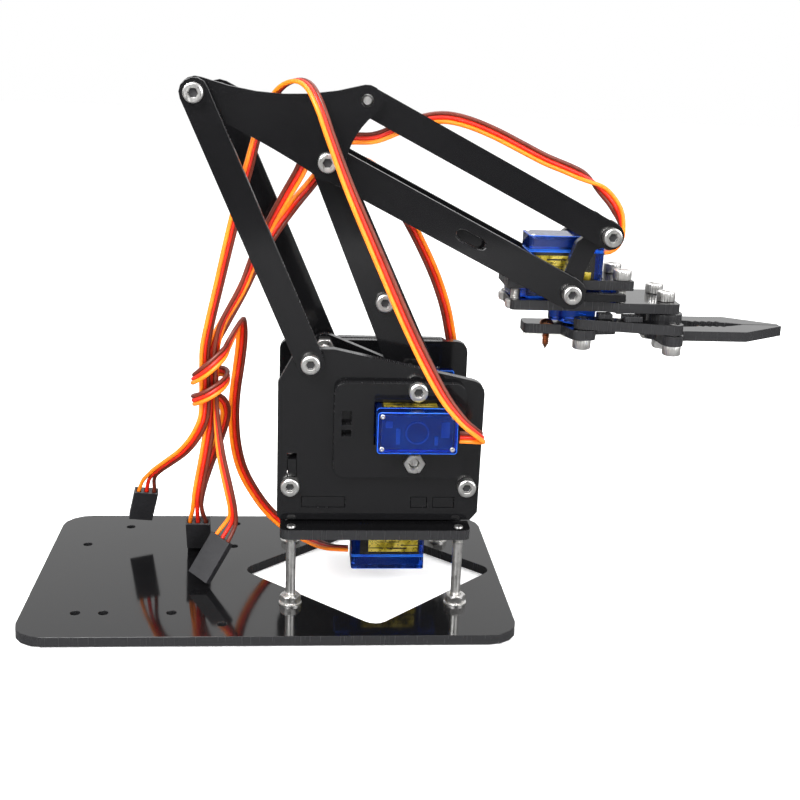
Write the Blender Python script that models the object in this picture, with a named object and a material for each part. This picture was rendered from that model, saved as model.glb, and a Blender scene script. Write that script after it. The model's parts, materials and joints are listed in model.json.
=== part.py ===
"""Desktop robot arm kit: black acrylic plates, four micro servos, parallel linkage and gripper.

Lengths are in millimetres until a helper turns them into metres. X runs towards the gripper,
Y away from the shoulder servo's side, Z up. The column turns about the line x = COLUMN_X, y = 0.
"""

import math

import bpy
import bmesh
from mathutils import Matrix, Vector

MM = 0.001

# Sheet and clearances
SHEET = 3.0
GAP = 0.3

# Base plate, measured from the column's axis
PLATE_LEFT = -102.0
PLATE_RIGHT = 41.0
PLATE_HALF_WIDTH = 46.5
PLATE_CORNER = 9.0
DIAMOND_REACH = 40.0
DIAMOND_ROUND = 4.0
STUD_OFFSET = 24.7
BOARD_HOLES = [(-91, 20.5), (-79, 36), (-86.5, -31), (-78.5, -31), (-59, -31), (-43.5, 39), (-43.5, 19)]
BOARD_HOLES += [(-44, -38.5)]
SERVO_PLATE_TOP = 27.5
SERVO_PLATE_HALF = 28.0

# Column
SIDE_OUTER_Y = 21.0
SIDE_LEFT = -29.0
SIDE_RIGHT = 31.0
SIDE_BOTTOM = 28.2
FAR_TOP = 73.8
TURNTABLE_BOTTOM = 32.6

# Linkage
SHOULDER_X = 16.0
SHOULDER_Z = 59.0
LINK = 80.0
UPPER_ANGLE = 113.6
FOREARM_ANGLE = -26.7
REAR_ARM = 40.0
REAR_ANGLE = 153.7
TAIL = 35.0
FRONT_ARM = 20.0
FRONT_ANGLE = 58.0

# Gripper, measured from the wrist
HAND_SERVO_X = 5.6
HAND_BACK_Z = 15.5
MAIN_PLATE_TOP = -3.2
MAIN_PLATE_LEFT = -16.4
MAIN_PLATE_RIGHT = 34.4
JAW_PIVOT_X = 31.2
JAW_PIVOT_Y = 6.5
JAW_LEVEL = -12.9
FINGER_REACH = 38.9
CRANK_PIN = 10.0

# Micro servo
SERVO_SHAFT_END = 5.9
SERVO_LONG = 22.8
SERVO_WIDE = 12.2
SERVO_TALL = 22.5
EAR_UNDER = 15.9
EAR_THICK = 2.5
EAR_REACH = 4.7
TOWER_TOP = 26.5
SHAFT_TOP = 29.6
SHAFT_RADIUS = 2.35

# M3 hardware
BOLT_RADIUS = 1.45
BOLT_HOLE = 1.8
HEAD_RADIUS = 2.75
HEAD_TALL = 3.0
NUT_CORNER = 3.1
NUT_TALL = 2.4


def polar(length, degrees):
    return Vector((length * math.cos(math.radians(degrees)), length * math.sin(math.radians(degrees))))


FINGER_TIP = SHOULDER_X + polar(LINK, UPPER_ANGLE).x + polar(LINK, FOREARM_ANGLE).x
FINGER_TIP += JAW_PIVOT_X + FINGER_REACH
COLUMN_X = -(FINGER_TIP + PLATE_LEFT) / 2

# Pivots, as (x, z) in the plane of the linkage
SHOULDER = Vector((COLUMN_X + SHOULDER_X, SHOULDER_Z))
ELBOW = SHOULDER + polar(LINK, UPPER_ANGLE)
WRIST = ELBOW + polar(LINK, FOREARM_ANGLE)
EAR_PIN = SHOULDER + polar(REAR_ARM, REAR_ANGLE)
REAR_PIN = ELBOW + polar(REAR_ARM, REAR_ANGLE)
TOP_PIN = ELBOW + polar(FRONT_ARM, FRONT_ANGLE)
HAND_PIN = WRIST + polar(FRONT_ARM, FRONT_ANGLE)
TAIL_PIN = ELBOW + polar(TAIL, FOREARM_ANGLE + 180)
CRANK_END = SHOULDER + polar(TAIL, FOREARM_ANGLE + 180)
GRIP_X = WRIST.x + HAND_SERVO_X
JAW_X = WRIST.x + JAW_PIVOT_X
JAW_Z = WRIST.y + JAW_LEVEL

# Plate centre planes along Y
UPPER_NEAR_Y = -5.2
UPPER_FAR_Y = 0.0
CRANK_Y = 5.2
DRIVE_Y = 10.5
FOREARM_Y = 13.8
TRIANGLE_Y = -17.1
SIDE_Y = SIDE_OUTER_Y - SHEET / 2
COLLAR_Y = SIDE_OUTER_Y + SHEET / 2 + GAP
REAR_LINK_Y = -22.8
BRACKET_Y = 10.5


def clear_scene():
    for item in list(bpy.data.objects):
        bpy.data.objects.remove(item)


def material(name, colour, roughness, metallic=0.0):
    made = bpy.data.materials.new(name)
    made.use_nodes = True
    shader = made.node_tree.nodes["Principled BSDF"]
    shader.inputs["Base Color"].default_value = (*colour, 1.0)
    shader.inputs["Roughness"].default_value = roughness
    shader.inputs["Metallic"].default_value = metallic
    return made


def empty(name, x, y, z):
    """The parent of one moving body, standing on its joint's axis."""
    made = bpy.data.objects.new(name, None)
    made.location = Vector((x, y, z)) * MM
    bpy.context.scene.collection.objects.link(made)
    return made


def add(name, data, matrix, look, body):
    made = bpy.data.objects.new(name, data)
    data.materials.append(look)
    bpy.context.scene.collection.objects.link(made)
    made.parent = body
    made.matrix_local = Matrix.Translation(-body.location) @ matrix
    return made


def arc(x, y, radius, start, end, count):
    """Points from one angle to another in degrees, both ends included."""
    angles = [math.radians(start + (end - start) * i / count) for i in range(count + 1)]
    return [(x + radius * math.cos(a), y + radius * math.sin(a)) for a in angles]


def circle(x, y, radius, count=12):
    return arc(x, y, radius, 0, 360, count)[:-1]


def rounded(corners):
    """An outline from (x, y, radius) corners, each rounded with an arc; radius 0 stays sharp."""
    points = []
    for i, (x, y, radius) in enumerate(corners):
        if not radius:
            points.append((x, y))
            continue
        here = Vector((x, y))
        before = (Vector(corners[i - 1][:2]) - here).normalized()
        after = (Vector(corners[(i + 1) % len(corners)][:2]) - here).normalized()
        half = before.angle(after) / 2
        centre = here + (before + after).normalized() * radius / math.sin(half)
        start = here + before * radius / math.tan(half) - centre
        end = here + after * radius / math.tan(half) - centre
        turn = start.angle_signed(end)
        count = max(2, round(abs(math.degrees(turn)) / 22))
        for k in range(count + 1):
            points.append(tuple(centre + Matrix.Rotation(-turn * k / count, 2) @ start))
    return points


def bar(a, b, radius_a, radius_b=None, count=7):
    """A link's outline: two round ends joined by their tangents."""
    radius_b = radius_b or radius_a
    along = Vector(b) - Vector(a)
    facing = math.degrees(math.atan2(along.y, along.x))
    lean = math.degrees(math.acos((radius_a - radius_b) / along.length))
    far_end = arc(b[0], b[1], radius_b, facing - lean, facing + lean, count)
    near_end = arc(a[0], a[1], radius_a, facing + lean, facing + 360 - lean, count)
    return far_end + near_end


def box(x0, x1, y0, y1):
    return [(x0, y0), (x1, y0), (x1, y1), (x0, y1)]


def facing_matrix(normal, level):
    """Turns an outline's plane to face one axis: X takes (y, z), Y takes (x, z) and Z takes (x, y)."""
    if normal == "X":
        turn = Matrix(((0, 0, 1), (1, 0, 0), (0, 1, 0)))
        place = Vector((level, 0, 0))
    elif normal == "Y":
        turn = Matrix(((1, 0, 0), (0, 0, -1), (0, 1, 0)))
        place = Vector((0, level, 0))
    else:
        turn = Matrix.Identity(3)
        place = Vector((0, 0, level))
    return Matrix.Translation(place * MM) @ turn.to_4x4()


def plate(name, outline, holes, normal, level, look, body, thickness=SHEET):
    """A cut sheet: an outline with holes, centred on its plane."""
    data = bpy.data.curves.new(name, "CURVE")
    data.dimensions = "2D"
    data.fill_mode = "BOTH"
    data.extrude = thickness / 2
    for loop in [outline, *holes]:
        spline = data.splines.new("POLY")
        spline.points.add(len(loop) - 1)
        for point, (x, y) in zip(spline.points, loop):
            point.co = (x, y, 0, 1)
        spline.use_cyclic_u = True
    return add(name, data, facing_matrix(normal, level) @ Matrix.Scale(MM, 4), look, body)


def lathe_mesh(name, profile, count=12, closed=False):
    """A turned mesh about Z from (radius, height, shape) rings; a "hex" ring has six flats."""
    shape = bmesh.new()
    rings = []
    for radius, height, kind in profile:
        if radius == 0:
            rings.append([shape.verts.new((0, 0, height * MM))])
            continue
        ring = []
        for i in range(count):
            angle = 2 * math.pi * i / count
            reach = radius
            if kind == "hex":
                reach = radius * math.cos(math.pi / 6) / math.cos(angle % (math.pi / 3) - math.pi / 6)
            place = Vector((reach * math.cos(angle), reach * math.sin(angle), height))
            ring.append(shape.verts.new(place * MM))
        rings.append(ring)
    pairs = list(zip(rings, rings[1:]))
    if closed:
        pairs.append((rings[-1], rings[0]))
    for low, high in pairs:
        for i in range(count):
            j = (i + 1) % count
            if len(low) == 1:
                shape.faces.new((low[0], high[i], high[j]))
            elif len(high) == 1:
                shape.faces.new((low[i], low[j], high[0]))
            else:
                shape.faces.new((low[i], low[j], high[j], high[i]))
    return finished_mesh(name, shape)


def finished_mesh(name, shape):
    bmesh.ops.recalc_face_normals(shape, faces=shape.faces)
    data = bpy.data.meshes.new(name)
    shape.to_mesh(data)
    shape.free()
    data.shade_smooth()
    data.set_sharp_from_angle(angle=math.radians(35))
    return data


def prism_mesh(name, outline, low, high):
    """An outline in the XY plane drawn out along Z."""
    shape = bmesh.new()
    corners = [shape.verts.new((x * MM, y * MM, low * MM)) for x, y in outline]
    face = shape.faces.new(corners)
    made = bmesh.ops.extrude_face_region(shape, geom=[face])
    top = [item for item in made["geom"] if isinstance(item, bmesh.types.BMVert)]
    bmesh.ops.translate(shape, verts=top, vec=(0, 0, (high - low) * MM))
    return finished_mesh(name, shape)


def turned_to(x, y, z, direction):
    """A matrix that stands a turned piece at a point, its Z along a direction."""
    turn = Vector((0, 0, 1)).rotation_difference(Vector(direction)).to_matrix().to_4x4()
    return Matrix.Translation(Vector((x, y, z)) * MM) @ turn


def join(target, pieces):
    """Unites hidden helper shapes with the target."""
    for piece in pieces:
        piece.hide_render = True
        piece.display_type = "WIRE"
        cut = target.modifiers.new(piece.name, "BOOLEAN")
        cut.operation = "UNION"
        cut.object = piece


def screw(name, x, y, z, direction, length, look, body, nut=None):
    """A socket-head screw from under its head; nut is how far along its shank its nut starts."""
    profile = [(0, -1.4, ""), (1.3, -1.4, "hex"), (1.3, -HEAD_TALL, "hex"), (2.4, -HEAD_TALL, "")]
    profile += [(HEAD_RADIUS, 0.35 - HEAD_TALL, ""), (HEAD_RADIUS, 0, ""), (BOLT_RADIUS, 0, "")]
    if nut is not None:
        profile += [(BOLT_RADIUS, nut, ""), (NUT_CORNER, nut, "hex")]
        profile += [(NUT_CORNER, nut + NUT_TALL, "hex"), (BOLT_RADIUS, nut + NUT_TALL, "")]
    profile += [(BOLT_RADIUS, length, ""), (0, length, "")]
    return add(name, lathe_mesh(name, profile), turned_to(x, y, z, direction), look, body)


def servo(name, matrix, look, body):
    """A micro servo: Z along its shaft from its back, X along its body from the shaft."""
    left = -SERVO_SHAFT_END
    right = left + SERVO_LONG
    ear_top = EAR_UNDER + EAR_THICK
    side = [(left, 0), (right, 0), (right, EAR_UNDER), (right + EAR_REACH, EAR_UNDER)]
    side += [(right + EAR_REACH, ear_top), (right, ear_top), (right, SERVO_TALL), (left, SERVO_TALL)]
    side += [(left, ear_top), (left - EAR_REACH, ear_top), (left - EAR_REACH, EAR_UNDER), (left, EAR_UNDER)]
    stand = Matrix(((1, 0, 0), (0, 0, -1), (0, 1, 0))).to_4x4()
    case = prism_mesh(name, side, -SERVO_WIDE / 2, SERVO_WIDE / 2)
    case.transform(stand)
    made = add(name, case, matrix, look, body)
    tower = [(0, 22.0, ""), (SERVO_SHAFT_END, 22.0, ""), (SERVO_SHAFT_END, TOWER_TOP, "")]
    tower += [(SHAFT_RADIUS, TOWER_TOP, ""), (SHAFT_RADIUS, SHAFT_TOP, ""), (0, SHAFT_TOP, "")]
    lobe = [(0, 22.0, ""), (2.6, 22.0, ""), (2.6, TOWER_TOP - 0.4, ""), (0, TOWER_TOP - 0.4, "")]
    first = add(name + "_tower_form", lathe_mesh(name + "_tower", tower, 18), matrix, look, body)
    offset = matrix @ Matrix.Translation(Vector((6.0, 0, 0)) * MM)
    second = add(name + "_lobe_form", lathe_mesh(name + "_lobe", lobe, 12), offset, look, body)
    join(made, [first, second])
    return made


def horn(name, matrix, angle, length, look, body):
    """A servo horn: a hub over the shaft with an arm beyond the plate that it drives."""
    base = TOWER_TOP + 0.4
    shelf = base + SHEET + GAP
    hub = [(0, SHAFT_TOP + 0.4, ""), (2.7, SHAFT_TOP + 0.4, ""), (2.7, base, ""), (3.4, base, "")]
    hub += [(3.4, shelf + 1.4, ""), (0, shelf + 1.4, "")]
    made = add(name, lathe_mesh(name, hub, 16), matrix, look, body)
    blade = bar((0, 0), polar(length, angle), 3.0, 2.0)
    arm = add(name + "_arm_form", prism_mesh(name + "_arm", blade, shelf, shelf + 1.2), matrix, look, body)
    join(made, [arm])
    return made


def servo_frame(x, y, z, shaft, along):
    """The matrix of a servo whose back centre under its shaft is at a point."""
    z_axis = Vector(shaft)
    x_axis = Vector(along)
    y_axis = z_axis.cross(x_axis)
    turn = Matrix((x_axis, y_axis, z_axis)).transposed().to_4x4()
    return Matrix.Translation(Vector((x, y, z)) * MM) @ turn


SERVO_BACK = SIDE_OUTER_Y - SHEET - GAP + EAR_UNDER
SHOULDER_FRAME = servo_frame(SHOULDER.x, -SERVO_BACK, SHOULDER.y, (0, 1, 0), (-1, 0, 0))
ELBOW_FRAME = servo_frame(SHOULDER.x, SERVO_BACK, SHOULDER.y, (0, -1, 0), (-1, 0, 0))
BASE_SERVO_BACK = SERVO_PLATE_TOP - SHEET - GAP - EAR_UNDER - EAR_THICK
BASE_FRAME = servo_frame(COLUMN_X, 0, BASE_SERVO_BACK, (0, 0, 1), (1, 0, 0))
HAND_FRAME = servo_frame(GRIP_X, 0, WRIST.y + HAND_BACK_Z, (0, 0, -1), (-1, 0, 0))


def servo_window(centre_x, centre_y, slack=0.35):
    """The opening that a servo's body passes through, in a plate's plane, shaft side at +x."""
    half = SERVO_WIDE / 2 + slack
    right = centre_x + SERVO_SHAFT_END + slack
    return box(right - SERVO_LONG - 2 * slack, right, centre_y - half, centre_y + half)


def stud_places():
    return [(COLUMN_X + x * STUD_OFFSET, y * STUD_OFFSET) for x in (-1, 1) for y in (-1, 1)]


def base_plate(look, body):
    left = COLUMN_X + PLATE_LEFT
    right = COLUMN_X + PLATE_RIGHT
    half = PLATE_HALF_WIDTH
    outline = rounded([(left, -half, PLATE_CORNER), (right, -half, PLATE_CORNER),
                       (right, half, PLATE_CORNER), (left, half, PLATE_CORNER)])
    reach = DIAMOND_REACH
    diamond = rounded([(COLUMN_X - reach, 0, DIAMOND_ROUND), (COLUMN_X, -reach, DIAMOND_ROUND),
                       (COLUMN_X + reach, 0, DIAMOND_ROUND), (COLUMN_X, reach, DIAMOND_ROUND)])
    holes = [circle(COLUMN_X + x, y, 1.5, 8) for x, y in BOARD_HOLES]
    holes += [circle(x, y, BOLT_HOLE) for x, y in stud_places()]
    plate("base_plate", outline, [diamond, *holes], "Z", SHEET / 2, look, body)


def standoffs(look, body):
    """Four studs, each with the nut that clamps it to the base plate."""
    top = SERVO_PLATE_TOP + 0.4
    nut = SHEET + GAP
    for side_x, end in ((-1, "left"), (1, "right")):
        for side_y, face in ((-1, "near"), (1, "far")):
            profile = [(0, 0.2, ""), (BOLT_RADIUS, 0.2, ""), (BOLT_RADIUS, nut, ""), (NUT_CORNER, nut, "hex")]
            profile += [(NUT_CORNER, nut + NUT_TALL, "hex"), (BOLT_RADIUS, nut + NUT_TALL, "")]
            profile += [(BOLT_RADIUS, top, ""), (0, top, "")]
            name = f"standoff_{face}_{end}"
            place = turned_to(COLUMN_X + side_x * STUD_OFFSET, side_y * STUD_OFFSET, 0, (0, 0, 1))
            add(name, lathe_mesh(name, profile), place, look, body)


def servo_plate(look, body):
    half = SERVO_PLATE_HALF
    corners = [(COLUMN_X + x * half, y * half, 2.5) for x, y in ((-1, -1), (1, -1), (1, 1), (-1, 1))]
    window = [(2 * COLUMN_X - x, y) for x, y in servo_window(COLUMN_X, 0)]
    studs = [circle(x, y, BOLT_HOLE) for x, y in stud_places()]
    level = SERVO_PLATE_TOP - SHEET / 2
    plate("servo_plate", rounded(corners), [window[::-1], *studs], "Z", level, look, body)


def turntable_plate(look, body):
    inner = SIDE_OUTER_Y - SHEET - GAP
    outline = rounded([(COLUMN_X + SIDE_LEFT + 3, -inner, 2), (COLUMN_X + SIDE_RIGHT - 3, -inner, 2),
                       (COLUMN_X + SIDE_RIGHT - 3, inner, 2), (COLUMN_X + SIDE_LEFT + 3, inner, 2)])
    plate("turntable_plate", outline, [circle(COLUMN_X, 0, 3.75, 16)], "Z",
          TURNTABLE_BOTTOM + SHEET / 2, look, body)


def side_plates(look, body):
    """The near plate rises to the ear of the rear link; the far one is a plain rectangle."""
    left = COLUMN_X + SIDE_LEFT
    right = COLUMN_X + SIDE_RIGHT
    low = SIDE_BOTTOM
    near = rounded([(left, low, 2), (right - 2.5, low, 0), (right - 0.4, low + 2.5, 0), (right, 70.5, 4),
                    (COLUMN_X - 13, 80.0, 3), (COLUMN_X - 23.6, 80.0, 3.5), (left, 70.0, 0)])
    far = rounded([(left, low, 2), (right, low, 2), (right, FAR_TOP, 3.5), (left, FAR_TOP, 3.5)])
    window = servo_window(SHOULDER.x, SHOULDER.y)
    common = [window, *column_slots()]
    ear = circle(EAR_PIN.x, EAR_PIN.y, BOLT_HOLE)
    plate("near_side_plate", near, [*common, ear], "Y", -SIDE_Y, look, body)
    plate("far_side_plate", far, common, "Y", SIDE_Y, look, body)


def column_slots():
    """T-slot bolts of the column in the side plates."""
    left = COLUMN_X - 25.2
    right = COLUMN_X + 26.8
    bolts = [circle(left, 39.0, BOLT_HOLE), circle(right, 39.0, BOLT_HOLE)]
    collar_bolts = [circle(x, z, BOLT_HOLE) for x, z in collar_bolt_places()]
    return bolts + collar_bolts


def collar_bolt_places():
    return [(COLUMN_X + 11.0, 69.0), (COLUMN_X + 10.6, 47.5)]


def collars(look, body):
    """Window frames outside the side plates that steady the servos."""
    for name, side, top in (("near_collar", -1, 71.0), ("far_collar", 1, 74.0)):
        x0, x1 = COLUMN_X - 12.8, COLUMN_X + 25.2
        outline = rounded([(x0, 42.5, 3), (x1, 42.5, 3), (x1, top, 3), (x0, top, 3)])
        holes = [servo_window(SHOULDER.x, SHOULDER.y)]
        holes += [circle(x, z, BOLT_HOLE) for x, z in collar_bolt_places()]
        holes += [box(COLUMN_X - 10.6, COLUMN_X - 7.8, low, high) for low, high in ((58.4, 62.6), (55.0, 57.0))]
        plate(name, outline, holes, "Y", side * COLLAR_Y, look, body)


def column_brace(look, body):
    inner = SIDE_OUTER_Y - SHEET - GAP
    plate("column_brace", box(-inner, inner, 36.4, 47.5), [circle(0, 42, 3.0)], "X", COLUMN_X - 9.2, look, body)


def column_hardware(look, body):
    near = -(SIDE_OUTER_Y + GAP)
    for name, x in (("column_bolt_left", -25.2), ("column_bolt_right", 26.8)):
        screw(name, COLUMN_X + x, near, 39.0, (0, 1, 0), 10.0, look, body)
    link_outer = REAR_LINK_Y - SHEET / 2 - GAP
    screw("ear_bolt", EAR_PIN.x, link_outer, EAR_PIN.y, (0, 1, 0), 11.0, look, body, SHEET * 2 + 3 * GAP)


def upper_arm(look, steel, body):
    brace = SHOULDER.lerp(ELBOW, 0.44)
    holes = [circle(ELBOW.x, ELBOW.y, BOLT_HOLE), circle(brace.x, brace.y, BOLT_HOLE)]
    hub = circle(SHOULDER.x, SHOULDER.y, 3.75, 16)
    plate("upper_arm_near", bar(SHOULDER, ELBOW, 7.0, 5.0), [*holes, hub], "Y", UPPER_NEAR_Y, look, body)
    plate("upper_arm_far", bar(SHOULDER, ELBOW, 7.0, 5.0), [*holes, hub], "Y", UPPER_FAR_Y, look, body)
    screw("upper_arm_bolt", brace.x, UPPER_NEAR_Y - SHEET / 2 - GAP, brace.y, (0, 1, 0), 11.4, steel, body, 8.8)


def elbow_hardware(look, body):
    """The elbow's long bolt carries the triangle, both forearm plates and both upper arm plates."""
    head = TRIANGLE_Y - SHEET / 2 - GAP
    profile_nut = FOREARM_Y + SHEET / 2 + GAP - head
    screw("elbow_bolt", ELBOW.x, head, ELBOW.y, (0, 1, 0), profile_nut + NUT_TALL + 0.8, look, body, profile_nut)


def rear_link(look, steel, body):
    holes = [circle(EAR_PIN.x, EAR_PIN.y, BOLT_HOLE), circle(REAR_PIN.x, REAR_PIN.y, BOLT_HOLE)]
    plate("rear_link", bar(EAR_PIN, REAR_PIN, 4.0), holes, "Y", REAR_LINK_Y, look, body)
    head = REAR_LINK_Y - SHEET / 2 - GAP
    nut = TRIANGLE_Y + SHEET / 2 + GAP - head
    screw("rear_bolt", REAR_PIN.x, head, REAR_PIN.y, (0, 1, 0), nut + NUT_TALL + 0.6, steel, body, nut)


def triangle_plate(look, body):
    """The plate that holds the hand level, with hollow sides between its three lobes."""
    outline = triangle_outline()
    holes = [circle(p.x, p.y, BOLT_HOLE) for p in (REAR_PIN, ELBOW, TOP_PIN)]
    plate("triangle_plate", outline, holes, "Y", TRIANGLE_Y, look, body)


def hollow_side(start, end, sag, count=6):
    """Points strictly between two, bowed to the left of the way from start to end."""
    across = Vector((start.y - end.y, end.x - start.x)).normalized()
    shares = [i / count for i in range(1, count)]
    return [tuple(start.lerp(end, s) + across * sag * 4 * s * (1 - s)) for s in shares]


def triangle_outline():
    rear = arc(REAR_PIN.x, REAR_PIN.y, 4.2, 68, 245, 7)
    low = arc(ELBOW.x, ELBOW.y, 5.2, 215, 370, 7)
    front = arc(TOP_PIN.x, TOP_PIN.y, 4.2, -60, 100, 7)
    first = hollow_side(Vector(rear[-1]), Vector(low[0]), 0.8)
    second = hollow_side(Vector(low[-1]), Vector(front[0]), 1.2)
    third = hollow_side(Vector(front[-1]), Vector(rear[0]), 3.4)
    return rear + first + low + second + front + third


def forearm(look, steel, body):
    wrist = circle(WRIST.x, WRIST.y, BOLT_HOLE)
    elbow = circle(ELBOW.x, ELBOW.y, BOLT_HOLE)
    brace = ELBOW.lerp(WRIST, 0.58)
    slot = bar(brace - polar(3.2, FOREARM_ANGLE), brace + polar(3.2, FOREARM_ANGLE), 1.7, count=4)
    plate("forearm_near", bar(ELBOW, WRIST, 4.7), [elbow, wrist, slot], "Y", -FOREARM_Y, look, body)
    tail = circle(TAIL_PIN.x, TAIL_PIN.y, BOLT_HOLE)
    plate("forearm_far", bar(TAIL_PIN, WRIST, 4.7), [elbow, wrist, slot, tail], "Y", FOREARM_Y, look, body)
    cross = 2 * FOREARM_Y - SHEET - 2 * GAP
    outline = bar(brace - polar(2.6, FOREARM_ANGLE), brace + polar(2.6, FOREARM_ANGLE), 1.5, count=4)
    plate("forearm_brace", outline, [], "Y", 0, look, body, thickness=cross)
    for name, side in (("wrist_bolt_near", -1), ("wrist_bolt_far", 1)):
        start = side * (FOREARM_Y + SHEET / 2 + GAP)
        screw(name, WRIST.x, start, WRIST.y, (0, -side, 0), 9.0, steel, body, SHEET * 2 + 3 * GAP - 0.05)
    outer = FOREARM_Y + SHEET / 2 + GAP
    screw("tail_bolt", TAIL_PIN.x, outer, TAIL_PIN.y, (0, -1, 0), 10.0, steel, body, SHEET * 2 + 3 * GAP)


def top_link(look, steel, body):
    holes = [circle(p.x, p.y, BOLT_HOLE) for p in (TOP_PIN, HAND_PIN)]
    plate("top_link", bar(TOP_PIN, HAND_PIN, 4.0), holes, "Y", -FOREARM_Y, look, body)
    head = -FOREARM_Y - SHEET / 2 - GAP
    screw("hand_pin_bolt", HAND_PIN.x, head, HAND_PIN.y, (0, 1, 0), 9.0, steel, body, SHEET * 2 + 3 * GAP - 0.05)


def crank(look, body):
    holes = [circle(SHOULDER.x, SHOULDER.y, 3.75, 16), circle(CRANK_END.x, CRANK_END.y, BOLT_HOLE)]
    plate("crank", bar(SHOULDER, CRANK_END, 7.0, 4.2), holes, "Y", CRANK_Y, look, body)


def drive_link(look, steel, pin_body, link_body):
    nut_side = CRANK_Y - SHEET / 2 - GAP
    outer = DRIVE_Y + SHEET / 2 + GAP
    nut = outer - nut_side
    screw("crank_bolt", CRANK_END.x, outer, CRANK_END.y, (0, -1, 0), nut + NUT_TALL + 0.5, steel, pin_body, nut)
    holes = [circle(CRANK_END.x, CRANK_END.y, BOLT_HOLE), circle(TAIL_PIN.x, TAIL_PIN.y, BOLT_HOLE)]
    plate("drive_link", bar(CRANK_END, TAIL_PIN, 4.0), holes, "Y", DRIVE_Y, look, link_body)


def hand_frame(look, steel, body):
    """Two brackets, a plate under the gripper servo's ears and two forked clamps over them."""
    foot = WRIST.y + MAIN_PLATE_TOP + GAP
    lobe = arc(HAND_PIN.x, HAND_PIN.y, 4.3, -35, 150, 7)
    corners = [(1.5, 14.6), (-1.8, 5.3), (-4.4, 2.2), (-4.8, foot - WRIST.y), (17.5, foot - WRIST.y),
               (17.5, -0.6), (5.2, -0.4), (4.2, 2.6), (4.6, 6.0), (7.4, 12.6)]
    bracket = lobe + [(WRIST.x + x, WRIST.y + z) for x, z in corners]
    for name, side, pins in (("hand_bracket_near", -1, 2), ("hand_bracket_far", 1, 1)):
        holes = [circle(p.x, p.y, BOLT_HOLE) for p in (WRIST, HAND_PIN)[:pins]]
        plate(name, bracket, holes, "Y", side * BRACKET_Y, look, body)
    left = WRIST.x + MAIN_PLATE_LEFT
    right = WRIST.x + MAIN_PLATE_RIGHT
    neck = WRIST.x + 12.0
    outline = rounded([(left, -9.8, 1.5), (neck, -9.8, 0), (neck + 4, -12.0, 0), (right, -12.0, 1.5),
                       (right, 12.0, 1.5), (neck + 4, 12.0, 0), (neck, 9.8, 0), (left, 9.8, 1.5)])
    window = servo_window(GRIP_X, 0)
    pivots = [circle(JAW_X, side * JAW_PIVOT_Y, BOLT_HOLE) for side in (-1, 1)]
    clamp_x = WRIST.x + 17.4
    clamps = [circle(clamp_x, side * 6.2, BOLT_HOLE) for side in (-1, 1)]
    level = WRIST.y + MAIN_PLATE_TOP - SHEET / 2
    plate("gripper_plate", outline, [window, *pivots, *clamps], "Z", level, look, body)
    top = WRIST.y + HAND_BACK_Z - EAR_UNDER + GAP
    inner = SERVO_WIDE / 2 + 0.35
    for name, end, stop, stop_inside, bolts in (
            ("front_clamp", 4.0, 20.6, GRIP_X + SERVO_SHAFT_END + 0.35, clamps),
            ("back_clamp", -4.0, -17.5, GRIP_X + SERVO_SHAFT_END - SERVO_LONG - 0.35, [])):
        end += WRIST.x
        stop += WRIST.x
        fork = [(end, -8.5), (stop, -8.5), (stop, 8.5), (end, 8.5), (end, inner), (stop_inside, inner),
                (stop_inside, -inner), (end, -inner)]
        plate(name, fork, bolts, "Z", top + SHEET / 2, look, body)
    for name, side in (("jaw_bolt_near", -1), ("jaw_bolt_far", 1)):
        start = WRIST.y + MAIN_PLATE_TOP + GAP
        screw(name, JAW_X, side * JAW_PIVOT_Y, start, (0, 0, -1), 14.5, steel, body, 11.9)


GEAR_TEETH = 13
GEAR_PITCH = JAW_PIVOT_Y
GEAR_ROOT = GEAR_PITCH - 1.0
GEAR_TIP = GEAR_PITCH + 0.7


def jaw_outline(side, with_arm):
    """A jaw about its pivot at the origin, for side -1 facing +Y; side 1 is its mirror."""
    pitch = 360 / GEAR_TEETH
    points = []
    first = 90 - pitch if with_arm else 90 - pitch * 1.5
    count = 4
    for i in range(count):
        middle = first + pitch * i
        for reach, offset in ((GEAR_ROOT, -9.0), (GEAR_TIP, -3.4), (GEAR_TIP, 3.4), (GEAR_ROOT, 9.0)):
            points.append(tuple(polar(reach, middle + offset)))
    if with_arm:
        points += arc(0, 0, GEAR_ROOT, 175, 230, 4)
        points += arc(0, -CRANK_PIN, 3.2, 180, 360, 6)
        points += [(3.2, -5.2)]
    else:
        points += arc(0, 0, GEAR_ROOT, 165, 290, 6)
    reach = FINGER_REACH
    points += [(6.0, -4.6), (reach * 0.63, -4.8), (reach, GEAR_PITCH - 1.6), (reach, GEAR_PITCH - 0.3)]
    points += [(reach * 0.70, GEAR_PITCH - 0.3), (reach * 0.58, GEAR_PITCH - 2.6)]
    teeth = 5
    for i in range(teeth):
        x = 21.0 - i * 2.2
        points += [(x, GEAR_PITCH - 3.0), (x - 1.1, GEAR_PITCH - 4.2)]
    points += [(8.6, 2.0), (6.4, 1.6)]
    return [(x, -side * y) for x, y in points]


def jaws(look, near_body, far_body):
    for name, side, body in (("jaw_near", -1, near_body), ("jaw_far", 1, far_body)):
        outline = [(JAW_X + x, side * JAW_PIVOT_Y + y) for x, y in jaw_outline(side, side < 0)]
        holes = [circle(JAW_X, side * JAW_PIVOT_Y, BOLT_HOLE)]
        if side < 0:
            holes.append(circle(JAW_X, -JAW_PIVOT_Y - CRANK_PIN, BOLT_HOLE))
        plate(name, outline, holes, "Z", JAW_Z, look, body)


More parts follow.
